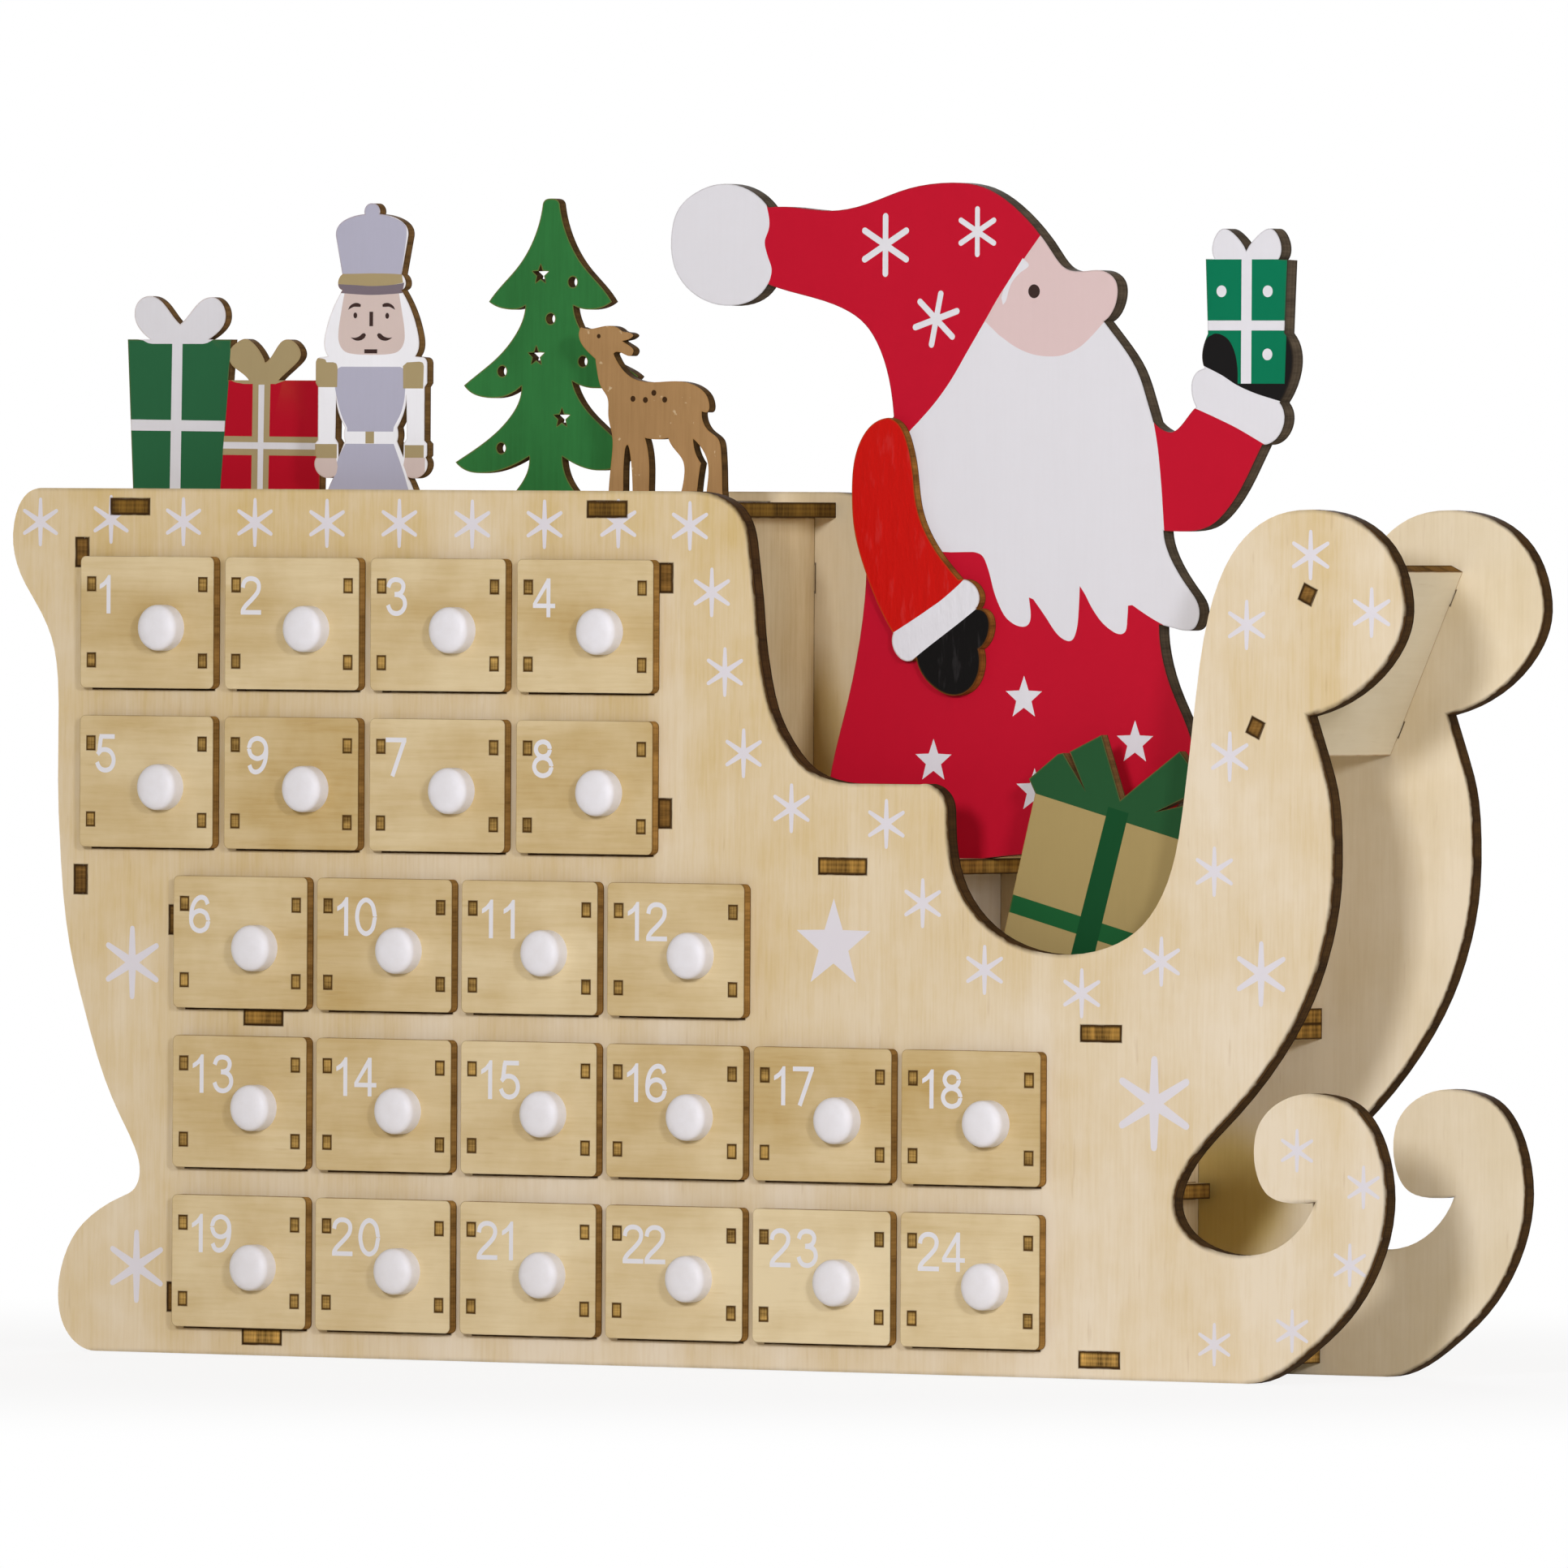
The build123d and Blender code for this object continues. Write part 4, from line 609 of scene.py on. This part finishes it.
uniform = [
    (LAVENDER, hat), (LAVENDER, chest), (LAVENDER, skirt),
    (BAND, region([(LEFT, 288.6), (-124, 287.8), (-117.6, 287.5), (-111, 287.8), (-107.0, 288.4)],
                  [(-107.5, 286.2), (-112, 285.3), (-117.6, 285.1), (-123, 285.3), (-128.4, 286.0)])),
    (GOLD, region([(LEFT, 290.6), (-124, 290.8), (-117.6, 290.9), (-111, 290.8), (-107.8, 290.6)],
                  [(-107.4, 288.4), (-111, 287.8), (-117.6, 287.5), (-124, 287.8), (LEFT, 288.6)])),
    (PINK, np.concatenate((face, mirrored(face, MIDDLE)[::-1]))),
    (BAND, region([(-128.0, 286.6), (-107.4, 286.6)],
                  [(-107.6, 285.6), (-112, 285.3), (-117.6, 285.1), (-123, 285.3), (-127.6, 285.6)])),
    (BROW, brow), (BROW, mirrored(brow, MIDDLE)), (BROW, lip), (BROW, mirrored(lip, MIDDLE)),
    (BROW, eye + (-122.9, 279.6)), (BROW, eye + (-112.5, 279.5)),
    (BROW, rectangle(-118.3, -117.1, 276.7, 280.6)), (BROW, rectangle(-119.9, -115.7, 269.4, 270.5)),
    (GOLD, rectangle(-119.4, -116.6, 245.2, 248.4)),
    (GOLD, region([(LEFT, 260.3), (-128.7, 260.3)], [(-128.6, 265.6), (-129.0, 266.6), (-130, 267.0)],
                  [(-132.2, 267.0), (-133.6, 268.0), (LEFT, 268.4)])),
    (GOLD, region([(-107.2, 260.0), (-100.7, 260.0)], [(-100.5, 266.0), (-100.9, 266.9), (-102, 267.2)],
                  [(-106.0, 267.0), (-107.3, 266.0)])),
    (GOLD, rectangle(LEFT, -128.7, 241.2, 245.0)), (GOLD, rectangle(-106.6, -100.4, 241.4, 244.8)),
    (PINK, region([(LEFT, 241.2), (-128.9, 241.2)], [(-128.4, 239.0), (-128.9, 237.0), (-130.4, 235.6)],
                  [(LEFT, 235)])),
    (PINK, region([(-100.0, 241.4), (-106.6, 241.4)], [(-107.0, 239.4), (-106.2, 237.6), (-105.4, 235.4)],
                  [(-100.0, 235)])),
]
painted("nutcracker", (236, 235, 235), uniform, print_ply)

# Brown parcel in the footwell: a flat piece of plywood that stands aslant on one corner,
# printed tan with a green ribbon, its pleated bow cut to outline.
LEAN = np.radians(14.5)
CORNER = np.array([134.6, 96.9])
RIBBON, CROSS_RIBBON, BOW = (14, 68, 33), (24, 84, 42), (33, 77, 42)


def on_parcel(shape):
    """Places given from the parcel's lower right corner, turned with its lean."""
    turn = np.array([[np.cos(LEAN), np.sin(LEAN)], [-np.sin(LEAN), np.cos(LEAN)]])
    return np.array(shape, float) @ turn.T + CORNER


wrapping = [
    (CROSS_RIBBON, on_parcel(rectangle(-52, 2, 13.2, 18.0))),
    (BOW, on_parcel(rectangle(-58, 8, 45.6, 75))),
    (RIBBON, on_parcel([(-28.6, -2), (-21.4, -2), (-20.4, 48.2), (-27.0, 48.2)])),
]
painted("brown_gift", (162, 141, 90), wrapping, print_ply)

# Large seated figure: 5 mm plywood printed crimson, with white beard and trim, standing on the seat plate.
# Its near arm is a second layer, painted by hand and glued on.
santa_ply = plywood("santa_ply", *FIGURE_WOOD, line=0.3, show=0.06, shine=0.1,
                    char=((50, 42, 33), (98, 85, 68)), scorch=(70, 56, 40))
CRIMSON, CHEEK, MITTEN, GREEN = (184, 14, 40), (212, 187, 182), (14, 12, 11), (0, 110, 74)
PUPIL, ARM_RED = (54, 38, 34), (190, 20, 14)


def bar(x0, z0, x1, z1, width):
    """Straight stroke with round ends: a half circle about each end."""
    turn = np.arctan2(z1 - z0, x1 - x0) + np.linspace(-np.pi / 2, np.pi / 2, 9)
    cap = width / 2 * np.stack((np.cos(turn), np.sin(turn)), axis=1)
    return np.concatenate((cap + (x1, z1), -cap + (x0, z0)))


def asterisk(x, z, half, width, lean=0.0):
    """Three round-ended strokes through one middle, one upright and two at sixty degrees to it."""
    turn = np.radians([0, 60, 120]) + lean
    ends = half * np.stack((np.sin(turn), np.cos(turn)), axis=1)
    return [(WHITE, bar(x - right, z - up, x + right, z + up, width)) for right, up in ends]


brim = [(88.4, 301.6), (80, 291.4), (75, 285), (70.5, 278.3), (65, 270.2), (60, 262.8), (55, 256.8), (50, 251.9),
        (47.4, 249.6)]
chin = [(70.5, 278.3), (75, 274.6), (80, 271.6), (85, 269.7), (90, 269.0), (95, 269.3), (100, 271.2),
        (104, 274.2), (108.4, 278.4)]
beard = region(
    [(66, 280), (42, 250)], [(44, 241), (46, 227), (50, 219.5), (55, 217.4), (60, 217.0)],
    [(65, 217.1), (68, 217.0), (70.4, 215.8), (72.2, 212.0), (74.2, 205.8), (77, 200.6), (80, 198.2),
     (83, 197.4), (84.9, 198.2), (85.5, 200.6), (84.9, 205.2)],
    [(86.3, 204.7), (90, 200.3), (93.6, 195.8), (96.6, 193.9), (98.8, 194.2), (100.1, 197.3), (100.6, 202),
     (100.9, 208.3)],
    [(102.4, 206.4), (105, 202.2), (108, 198.7), (111.5, 196.3), (114, 195.7), (115.5, 196.8), (115.9, 200),
     (116.1, 203.2)],
    [(117.4, 203.4), (121, 201.3), (124, 199.7), (127, 198.3)],
    [(128, 194), (148, 194), (148, 215), (134, 222.7)],
    [(127.3, 222.7), (126.8, 229), (126.2, 236), (125.1, 245), (123.7, 252.2)],
    [(130, 262), (116, 279), (108.4, 278.4)],
    [(104, 276), (90, 272), (75, 277)])
coat = [
    (WHITE, beard),
    (CHEEK, region(brim[:4], chin[1:], [(121, 279), (121, 300), (95, 309)])),
    (CRIMSON, region(brim, [(44.0, 246.0), (30, 246)], [(30, 290), (80, 316)])),
    (WHITE, region([(82.4, 295.0), (84.3, 293.0), (81.4, 291.0), (79.1, 288.7), (78.0, 286.4), (77.2, 283.8),
                    (76.2, 282.6)], [(75.7, 284.4), (76.4, 286.8)])),
    (PUPIL, disc(86.0, 286.2, 1.85)),
    (WHITE, region([(0.8, 309.6), (1.8, 305.4), (1.6, 302.6), (0.4, 299.4), (1.2, 296.0), (2.6, 292.4),
                    (2.2, 289.6), (0.8, 287.0)],
                   [(1.6, 280), (-36, 274)], [(-36, 322), (0, 322)])),
    (WHITE, rectangle(136, 172, 294.6, 306)),
    (MITTEN, np.array([(136, 250), (172, 250), (172, 277), (136, 277)])),
    (GREEN, np.array([(138.6, 294.6), (140.7, 261.9), (164.6, 261.9), (165.8, 294.6)])),
    (MITTEN, region([(136, 262), (138.6, 268), (139.6, 272.4), (141.6, 274.6), (144.0, 275.0), (147.0, 273.5),
                     (149.0, 270.2), (149.9, 266), (150.0, 261.5)], [(150, 256), (136, 256)])),
    (WHITE, np.array([(151.0, 261.9), (154.2, 261.9), (154.2, 296), (151.0, 296)])),
    (WHITE, rectangle(138, 166, 275.9, 278.5)),
    (MITTEN, region([(139.4, 271), (140.2, 273.6), (141.6, 274.6), (144.0, 275.0), (145, 274.6)],
                    [(145, 270), (140, 268)])),
    (WHITE, disc(144.8, 286.2, 1.55)), (WHITE, disc(159.2, 286.2, 1.55)), (WHITE, disc(159.2, 269.6, 1.55)),
    (WHITE, region([(132, 268), (138, 267.0), (140.4, 266.1), (145, 264.1), (150, 261.4), (156, 259.2),
                    (163.6, 257.2)],
                   [(172, 256), (172, 243), (160, 245)],
                   [(158.3, 246.0), (150, 250.1), (143, 253.0), (137.2, 255.2)], [(130, 256.5), (130, 262)])),
    (CRIMSON, region([(128, 258), (137.2, 255.2)], [(143, 253.0), (150, 250.1), (158.3, 246.0)],
                     [(162, 243), (160, 236), (128, 236)])),
    *asterisk(38.9, 298.5, 7.6, 1.75), *asterisk(68.0, 302.0, 6.0, 1.5),
    *asterisk(55.1, 278.8, 6.9, 1.7, np.radians(12)),
]
coat += [(WHITE, star(x, z, 6.0)) for x, z in ((83.5, 178.5), (55.0, 161.5), (118.5, 167.0), (87.0, 154.0))]
painted("santa_body", CRIMSON, coat, santa_ply)
arm_ply = plywood("arm_ply", *FIGURE_WOOD, line=0.55, show=0.06,
                  char=((84, 50, 20), (152, 102, 42)), scorch=(140, 84, 24), rough=0.3, shine=0.06, brush=0.5)
cuff_low = [(71.6, 203.0), (66, 199.1), (60, 195.1), (55, 191.8), (50.6, 188.7), (47, 185.6)]
trim = [
    (WHITE, region([(40, 193.6), (44, 195.6), (50, 198.9), (55, 201.8), (60, 204.9), (66.3, 209.9), (68, 213)],
                   [(78, 212)], cuff_low, [(38, 184)])),
    (MITTEN, region(cuff_low, [(46, 170), (85, 170), (85, 205)])),
]
painted("santa_arm", ARM_RED, trim, arm_ply)

# Drawers: front, two sides, back and bottom of 3 mm plywood, the sides tenoned through the front,
# with a printed number and a turned, white-painted wooden knob glued in a hole.
FRONT_WIDE, FRONT_HIGH, FRONT_ROUND, FRONT_SCORCH = 43.7, 35.5, 1.6, 0.3
FRONT_FACE, FRONT_BACK, DRAWER_END = -35.05, -32.05, 27.95
SIDE_OUTER, SIDE_INNER, SIDE_HIGH = 19.6, 16.9, 33.2
PLY = 3.0
TENONS = (0.211 * FRONT_HIGH, 0.789 * FRONT_HIGH)
TENON_HALF, SLOT_HALF_HIGH, SLOT_HALF_WIDE = 1.85, 1.95, 1.45
front_ply = plywood("front_ply", (220, 202, 162), (178, 148, 88), "x", "y", streak=0.14,
                    char=((104, 74, 34), (172, 130, 68)), scorch=(96, 66, 30), line=0.85)
drawer_ply = plywood("drawer_ply", (211, 188, 147), (186, 156, 106), "y", "x",
                     char=((74, 50, 20), (196, 158, 86)), scorch=(104, 72, 32), line=0.85, ends=1.0)


def loop_edges(*loops):
    """Points and closing edges of several closed outlines."""
    shift = np.cumsum([0] + [len(loop) for loop in loops])
    edges = [closing_edges(loop) + first for loop, first in zip(loops, shift)]
    return np.concatenate(loops), np.concatenate(edges)


DIGIT, DIGIT_STROKE = 10.35, 0.125
NUMBER_TOP, NUMBER_LEFT, PAIR_LEFT, NINE_LEFT = 5.1, 5.0, 5.3, 7.2
# Step from one digit to the next, wider on four of the fronts.
STEP = 7.0
STEPS = {13: 7.7, 20: 8.6, 23: 8.6, 24: 7.7}


def stroke(path, width):
    """Band along a path: half the width to each side of it, with square ends."""
    path = smooth(path, 5) if len(path) > 2 else np.array(path, float)
    run = np.gradient(path, axis=0)
    run = run / np.linalg.norm(run, axis=1, keepdims=True)
    side = width / 2 * np.stack((-run[:, 1], run[:, 0]), axis=1)
    return np.concatenate((path + side, path[::-1] - side[::-1]))


def numeral(path):
    return stroke(path, DIGIT_STROKE)


def ring(x, z, wide, high):
    """Band round an ellipse, open where its ends meet."""
    turn = np.linspace(0, 2 * np.pi, 33)
    return numeral(np.stack((x + wide * np.cos(turn), z + high * np.sin(turn)), axis=1)[::4])


SIX = [ring(0.35, 0.325, 0.275, 0.262),
       numeral([(0.60, 0.76), (0.53, 0.89), (0.41, 0.9375), (0.28, 0.90), (0.17, 0.79), (0.10, 0.63),
                (0.072, 0.45), (0.078, 0.31)])]
# Plain upright numerals in a box as high as one: strokes drawn along their middle line.
NUMERALS = {
    "0": [ring(0.35, 0.5, 0.282, 0.4375)],
    "1": [np.array([(0.465, 0), (0.465, 1), (0.385, 1), (0.34, 0.93), (0.25, 0.835), (0.12, 0.755), (0.12, 0.635),
                    (0.24, 0.69), (0.34, 0.765), (0.34, 0)])],
    "2": [numeral([(0.075, 0.70), (0.11, 0.83), (0.21, 0.915), (0.34, 0.9375), (0.47, 0.91), (0.56, 0.83),
                   (0.583, 0.72), (0.55, 0.60), (0.46, 0.49), (0.32, 0.36), (0.18, 0.24), (0.09, 0.13),
                   (0.07, 0.04)]), rectangle(0.015, 0.655, 0.0, 0.12)],
    "3": [numeral([(0.07, 0.74), (0.13, 0.87), (0.23, 0.928), (0.34, 0.9375), (0.46, 0.905), (0.535, 0.82),
                   (0.54, 0.72), (0.49, 0.62), (0.40, 0.57), (0.27, 0.555)]),
          numeral([(0.27, 0.555), (0.43, 0.535), (0.55, 0.46), (0.595, 0.34), (0.58, 0.23), (0.51, 0.13),
                   (0.42, 0.078), (0.32, 0.0625), (0.20, 0.09), (0.115, 0.17), (0.065, 0.28)])],
    "4": [rectangle(0.43, 0.55, 0.0, 1.0), rectangle(0.01, 0.70, 0.235, 0.35),
          np.array([(0.01, 0.35), (0.01, 0.29), (0.09, 0.29), (0.50, 0.86), (0.50, 1.0), (0.45, 1.0)])],
    "5": [rectangle(0.14, 0.62, 0.88, 1.0), numeral([(0.185, 0.94), (0.12, 0.49)]),
          numeral([(0.075, 0.47), (0.18, 0.575), (0.32, 0.60), (0.46, 0.56), (0.555, 0.46), (0.59, 0.335),
                   (0.56, 0.20), (0.47, 0.10), (0.34, 0.0625), (0.21, 0.085), (0.12, 0.155), (0.06, 0.27)])],
    "6": SIX,
    "7": [rectangle(0.02, 0.66, 0.88, 1.0), numeral([(0.60, 0.93), (0.23, 0.0)])],
    "8": [ring(0.345, 0.745, 0.222, 0.192), ring(0.345, 0.295, 0.272, 0.232)],
    "9": [(0.70, 1.0) - shape for shape in SIX],
}


def rounded(width, height, radius):
    """Rectangle about the origin with a quarter arc at each corner."""
    turn = np.radians(np.arange(0, 91, 15))
    arc = radius * np.stack((np.cos(turn), np.sin(turn)), axis=1)
    right = arc + (width / 2 - radius, height / 2 - radius)
    return np.concatenate((right, right[::-1] * (-1, 1), -right, right[::-1] * (1, -1)))


def moved(part, x, z):
    return {**part, "points": part["points"] + (x, 0, z)}


def lathe(profile, turns):
    """Profile of (radius, depth) carried round the y axis."""
    angle = np.linspace(0, 2 * np.pi, turns, endpoint=False)
    radius, depth = profile[:, 0, None], profile[:, 1, None]
    points = np.broadcast_arrays(radius * np.cos(angle), depth, radius * np.sin(angle))
    points = np.stack(points, axis=2).reshape(-1, 3)
    row, column = np.meshgrid(np.arange(len(profile) - 1), np.arange(turns), indexing="ij")
    near, far = row * turns, (row + 1) * turns
    ahead = (column + 1) % turns
    quads = np.stack((near + column, near + ahead, far + ahead, far + column), axis=2).reshape(-1, 4)
    return {"points": points, "triangles": np.zeros((0, 3), int), "quads": quads, "burn": np.zeros(quads.size),
            "ink": np.zeros((quads.size, 4)), "wall": np.zeros((quads.size, 3)), "paint": 1}


KNOB_RADIUS, KNOB_RIM, KNOB_DOME, KNOB_TURNS = 6.2, 3.3, 2.5, 48
KNOB_PLACE = (6.0, FRONT_HIGH / 2 - 1.4)
white_paint, tree = new_material("knob_paint")
shader = tree.nodes["Principled BSDF"]
feed(tree, 0.4, shader, "Roughness")
feed(tree, 0.25, shader, "Specular IOR Level")
spread = noise(tree, (add(tree, "TexCoord"), "Object"), 300.0, 3.0, 0.6)
feed(tree, mix(tree, spread, srgb(226, 224, 225), srgb(216, 212, 210)), shader, "Base Color")
rise = np.linspace(0, np.pi / 2, 14)
dome_depth = FRONT_FACE - KNOB_RIM - KNOB_DOME * np.sin(rise) ** 0.8
dome = np.stack((KNOB_RADIUS * np.cos(rise) ** 0.62, dome_depth), axis=1)
dome[-1, 0] = 0.0
profile = np.concatenate(([(KNOB_RADIUS, FRONT_FACE)], dome))
knob = moved(lathe(profile, KNOB_TURNS), *KNOB_PLACE)

sides = []
for edge in (-SIDE_OUTER, SIDE_INNER):
    outline = [(0.0, FRONT_BACK), (0.0, DRAWER_END), (SIDE_HIGH, DRAWER_END), (SIDE_HIGH, FRONT_BACK)]
    for middle in TENONS[::-1]:
        high, low = middle + TENON_HALF, middle - TENON_HALF
        outline += [(high, FRONT_BACK), (high, FRONT_FACE), (low, FRONT_FACE), (low, FRONT_BACK)]
    sides.append(board(*loop_edges(np.array(outline[::-1])), 0, edge, edge + SIDE_OUTER - SIDE_INNER))
back = rectangle(-SIDE_INNER, SIDE_INNER, 0.0, SIDE_HIGH)
sides.append(board(*loop_edges(back), 1, DRAWER_END - PLY, DRAWER_END))
bottom = rectangle(FRONT_BACK, DRAWER_END - PLY, -SIDE_INNER, SIDE_INNER)
sides.append(board(*loop_edges(bottom), 2, 0.0, PLY))
slot_place = (SIDE_OUTER + SIDE_INNER) / 2
slots = [rectangle(x - SLOT_HALF_WIDE, x + SLOT_HALF_WIDE, z - SLOT_HALF_HIGH, z + SLOT_HALF_HIGH)[::-1]
         for x in (-slot_place, slot_place) for z in TENONS]
rim = rounded(FRONT_WIDE, FRONT_HIGH, FRONT_ROUND) + (0, FRONT_HIGH / 2)
# Fronts of the lowest row are paler than those above, partly paler veneer and partly painted light as from the
# pale floor below them; a few fronts come from other sheets.
LOWEST_ROW, LOWEST_TONE, UPPER_TONE, TONE_SWING = 19, -0.1, 0.2, 0.06
TONES = {4: 0.31, 9: 0.5, 12: 0.32, 15: 0.0, 18: 0.37, 24: 0.07}
for number in range(1, 25):
    node = f"drawer_{number:02d}"
    left = NINE_LEFT if number == 9 else NUMBER_LEFT if number < 10 else PAIR_LEFT
    step = STEPS.get(number, STEP)
    corner = (left - FRONT_WIDE / 2, FRONT_HIGH - NUMBER_TOP - DIGIT)
    figures = [(srgb(*WHITE), shape * DIGIT + corner + (place * step, 0))
               for place, digit in enumerate(str(number)) for shape in NUMERALS[digit]]
    front = board(*loop_edges(rim, *slots), 1, FRONT_FACE, FRONT_BACK, figures, len(rim), FRONT_SCORCH)
    row_tone = LOWEST_TONE if number >= LOWEST_ROW else UPPER_TONE
    tone = TONES.get(number, row_tone + TONE_SWING * np.sin(number * 2.7))
    low, high = [np.array(corner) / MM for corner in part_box(node)]
    x, z = (low[0] + high[0]) / 2, low[2]
    parts = [moved(part, x, z) for part in [{**front, "paint": 2}, *sides, knob]]
    piece(node + "_box", parts, [drawer_ply, white_paint, front_ply], node, node, tone=tone)

# Studio: a plain pale floor, which glows white with distance for the camera but keeps the shadow, and a white
# surround whose own light is dim and warm.
FLOOR_GREY, SURROUND_TINT, SURROUND_WHITE = (0.9, 0.9, 0.9, 1), (1.0, 0.84, 0.56, 1), (1, 1, 1, 1)
SURROUND_LIGHT, SHADOW_GLOW, FADE_NEAR, FADE_FAR = 0.24, 0.86, 0.2, 0.6
FLOOR_HALF, FLOOR_LEVEL = 6, -0.0002


def direct_rays(tree):
    """One for rays from the camera, straight, mirrored or through glass, and nought for all others."""
    ray = add(tree, "LightPath")
    seen = calc(tree, "MAXIMUM", (ray, "Is Camera Ray"), (ray, "Is Glossy Ray"))
    return calc(tree, "MAXIMUM", seen, (ray, "Is Transmission Ray"))


floor_paint, tree = new_material("pale_floor")
tree.nodes.remove(tree.nodes["Principled BSDF"])
matt = add(tree, "BsdfDiffuse", {"Color": FLOOR_GREY})
glow = add(tree, "Emission")
far = add(tree, "VectorMath", {0: (add(tree, "TexCoord"), "Object")}, operation="LENGTH")
fade = ramp(tree, (far, "Value"), FADE_NEAR, FADE_FAR, SHADOW_GLOW, 1.0)
share = calc(tree, "MULTIPLY", direct_rays(tree), fade)
blend = add(tree, "MixShader", {"Fac": share, 1: (matt, "BSDF"), 2: (glow, "Emission")})
feed(tree, (blend, "Shader"), tree.nodes["Material Output"], "Surface")
mesh = bpy.data.meshes.new("floor")
square = rectangle(-FLOOR_HALF, FLOOR_HALF, -FLOOR_HALF, FLOOR_HALF)
mesh.from_pydata([(*corner, FLOOR_LEVEL) for corner in square], [], [(0, 1, 2, 3)])
mesh.materials.append(floor_paint)
floor = bpy.data.objects.new("floor", mesh)
bpy.context.scene.collection.objects.link(floor)

world = bpy.data.worlds.new("surround")
bpy.context.scene.world = world
world.use_nodes = True
tree = world.node_tree
seen = direct_rays(tree)
around = tree.nodes["Background"]
feed(tree, mix(tree, seen, SURROUND_TINT, SURROUND_WHITE), around, "Color")
feed(tree, ramp(tree, seen, 0.0, 1.0, SURROUND_LIGHT, 1.0), around, "Strength")

# Lamps: three soft square ones to the right, in front of the object and beside it, and one behind it.
# Their places give the shadows that the photo shows.
LAMP_TINT = (0.867, 0.892, 1.0)
AIM = np.array([0, 0, 0.15])


def lamp(name, place, size, share):
    """Square soft lamp; its power gives a surface facing it at the aim the stated share of plain white."""
    place = np.array(place)
    reach = np.linalg.norm(place - AIM)
    light = bpy.data.lights.new(name, "AREA")
    light.size = size
    light.energy = share * np.pi ** 2 * reach ** 2
    light.color = LAMP_TINT
    made = bpy.data.objects.new(name, light)
    back = (place - AIM) / reach
    right = np.cross((0, 0, 1), back)
    right = right / np.linalg.norm(right)
    axes = np.stack((right, np.cross(back, right), back, place), axis=1)
    made.matrix_world = Matrix([*axes.tolist(), [0, 0, 0, 1]])
    bpy.context.scene.collection.objects.link(made)


lamp("key_lamp", (0.88, -2.42, 0.72), 0.32, 0.513)
lamp("side_lamp", (1.93, -1.74, 0.66), 0.28, 0.325)
lamp("right_lamp", (2.60, -0.20, 1.00), 1.4, 0.16)
lamp("back_lamp", (-1.3, 2.3, 1.0), 1.2, 0.6)

# Camera: a long lens well off to the right and a little above the sleigh's middle,
# as far away as the photo's own perspective says.
lens = bpy.data.cameras.new("camera")
lens.sensor_width = 36.0
lens.lens = 570.64
lens.clip_end = 60.0
camera = bpy.data.objects.new("camera", lens)
camera.matrix_world = Matrix((
    (0.83383947, -0.01087895, 0.5518998, 3.661841),
    (0.55198096, 0.00671884, -0.83382964, -5.521867),
    (0.00536306, 0.99991825, 0.01160741, 0.231820),
    (0, 0, 0, 1)))
bpy.context.scene.collection.objects.link(camera)
bpy.context.scene.camera = camera
bpy.context.scene.view_settings.view_transform = "Standard"
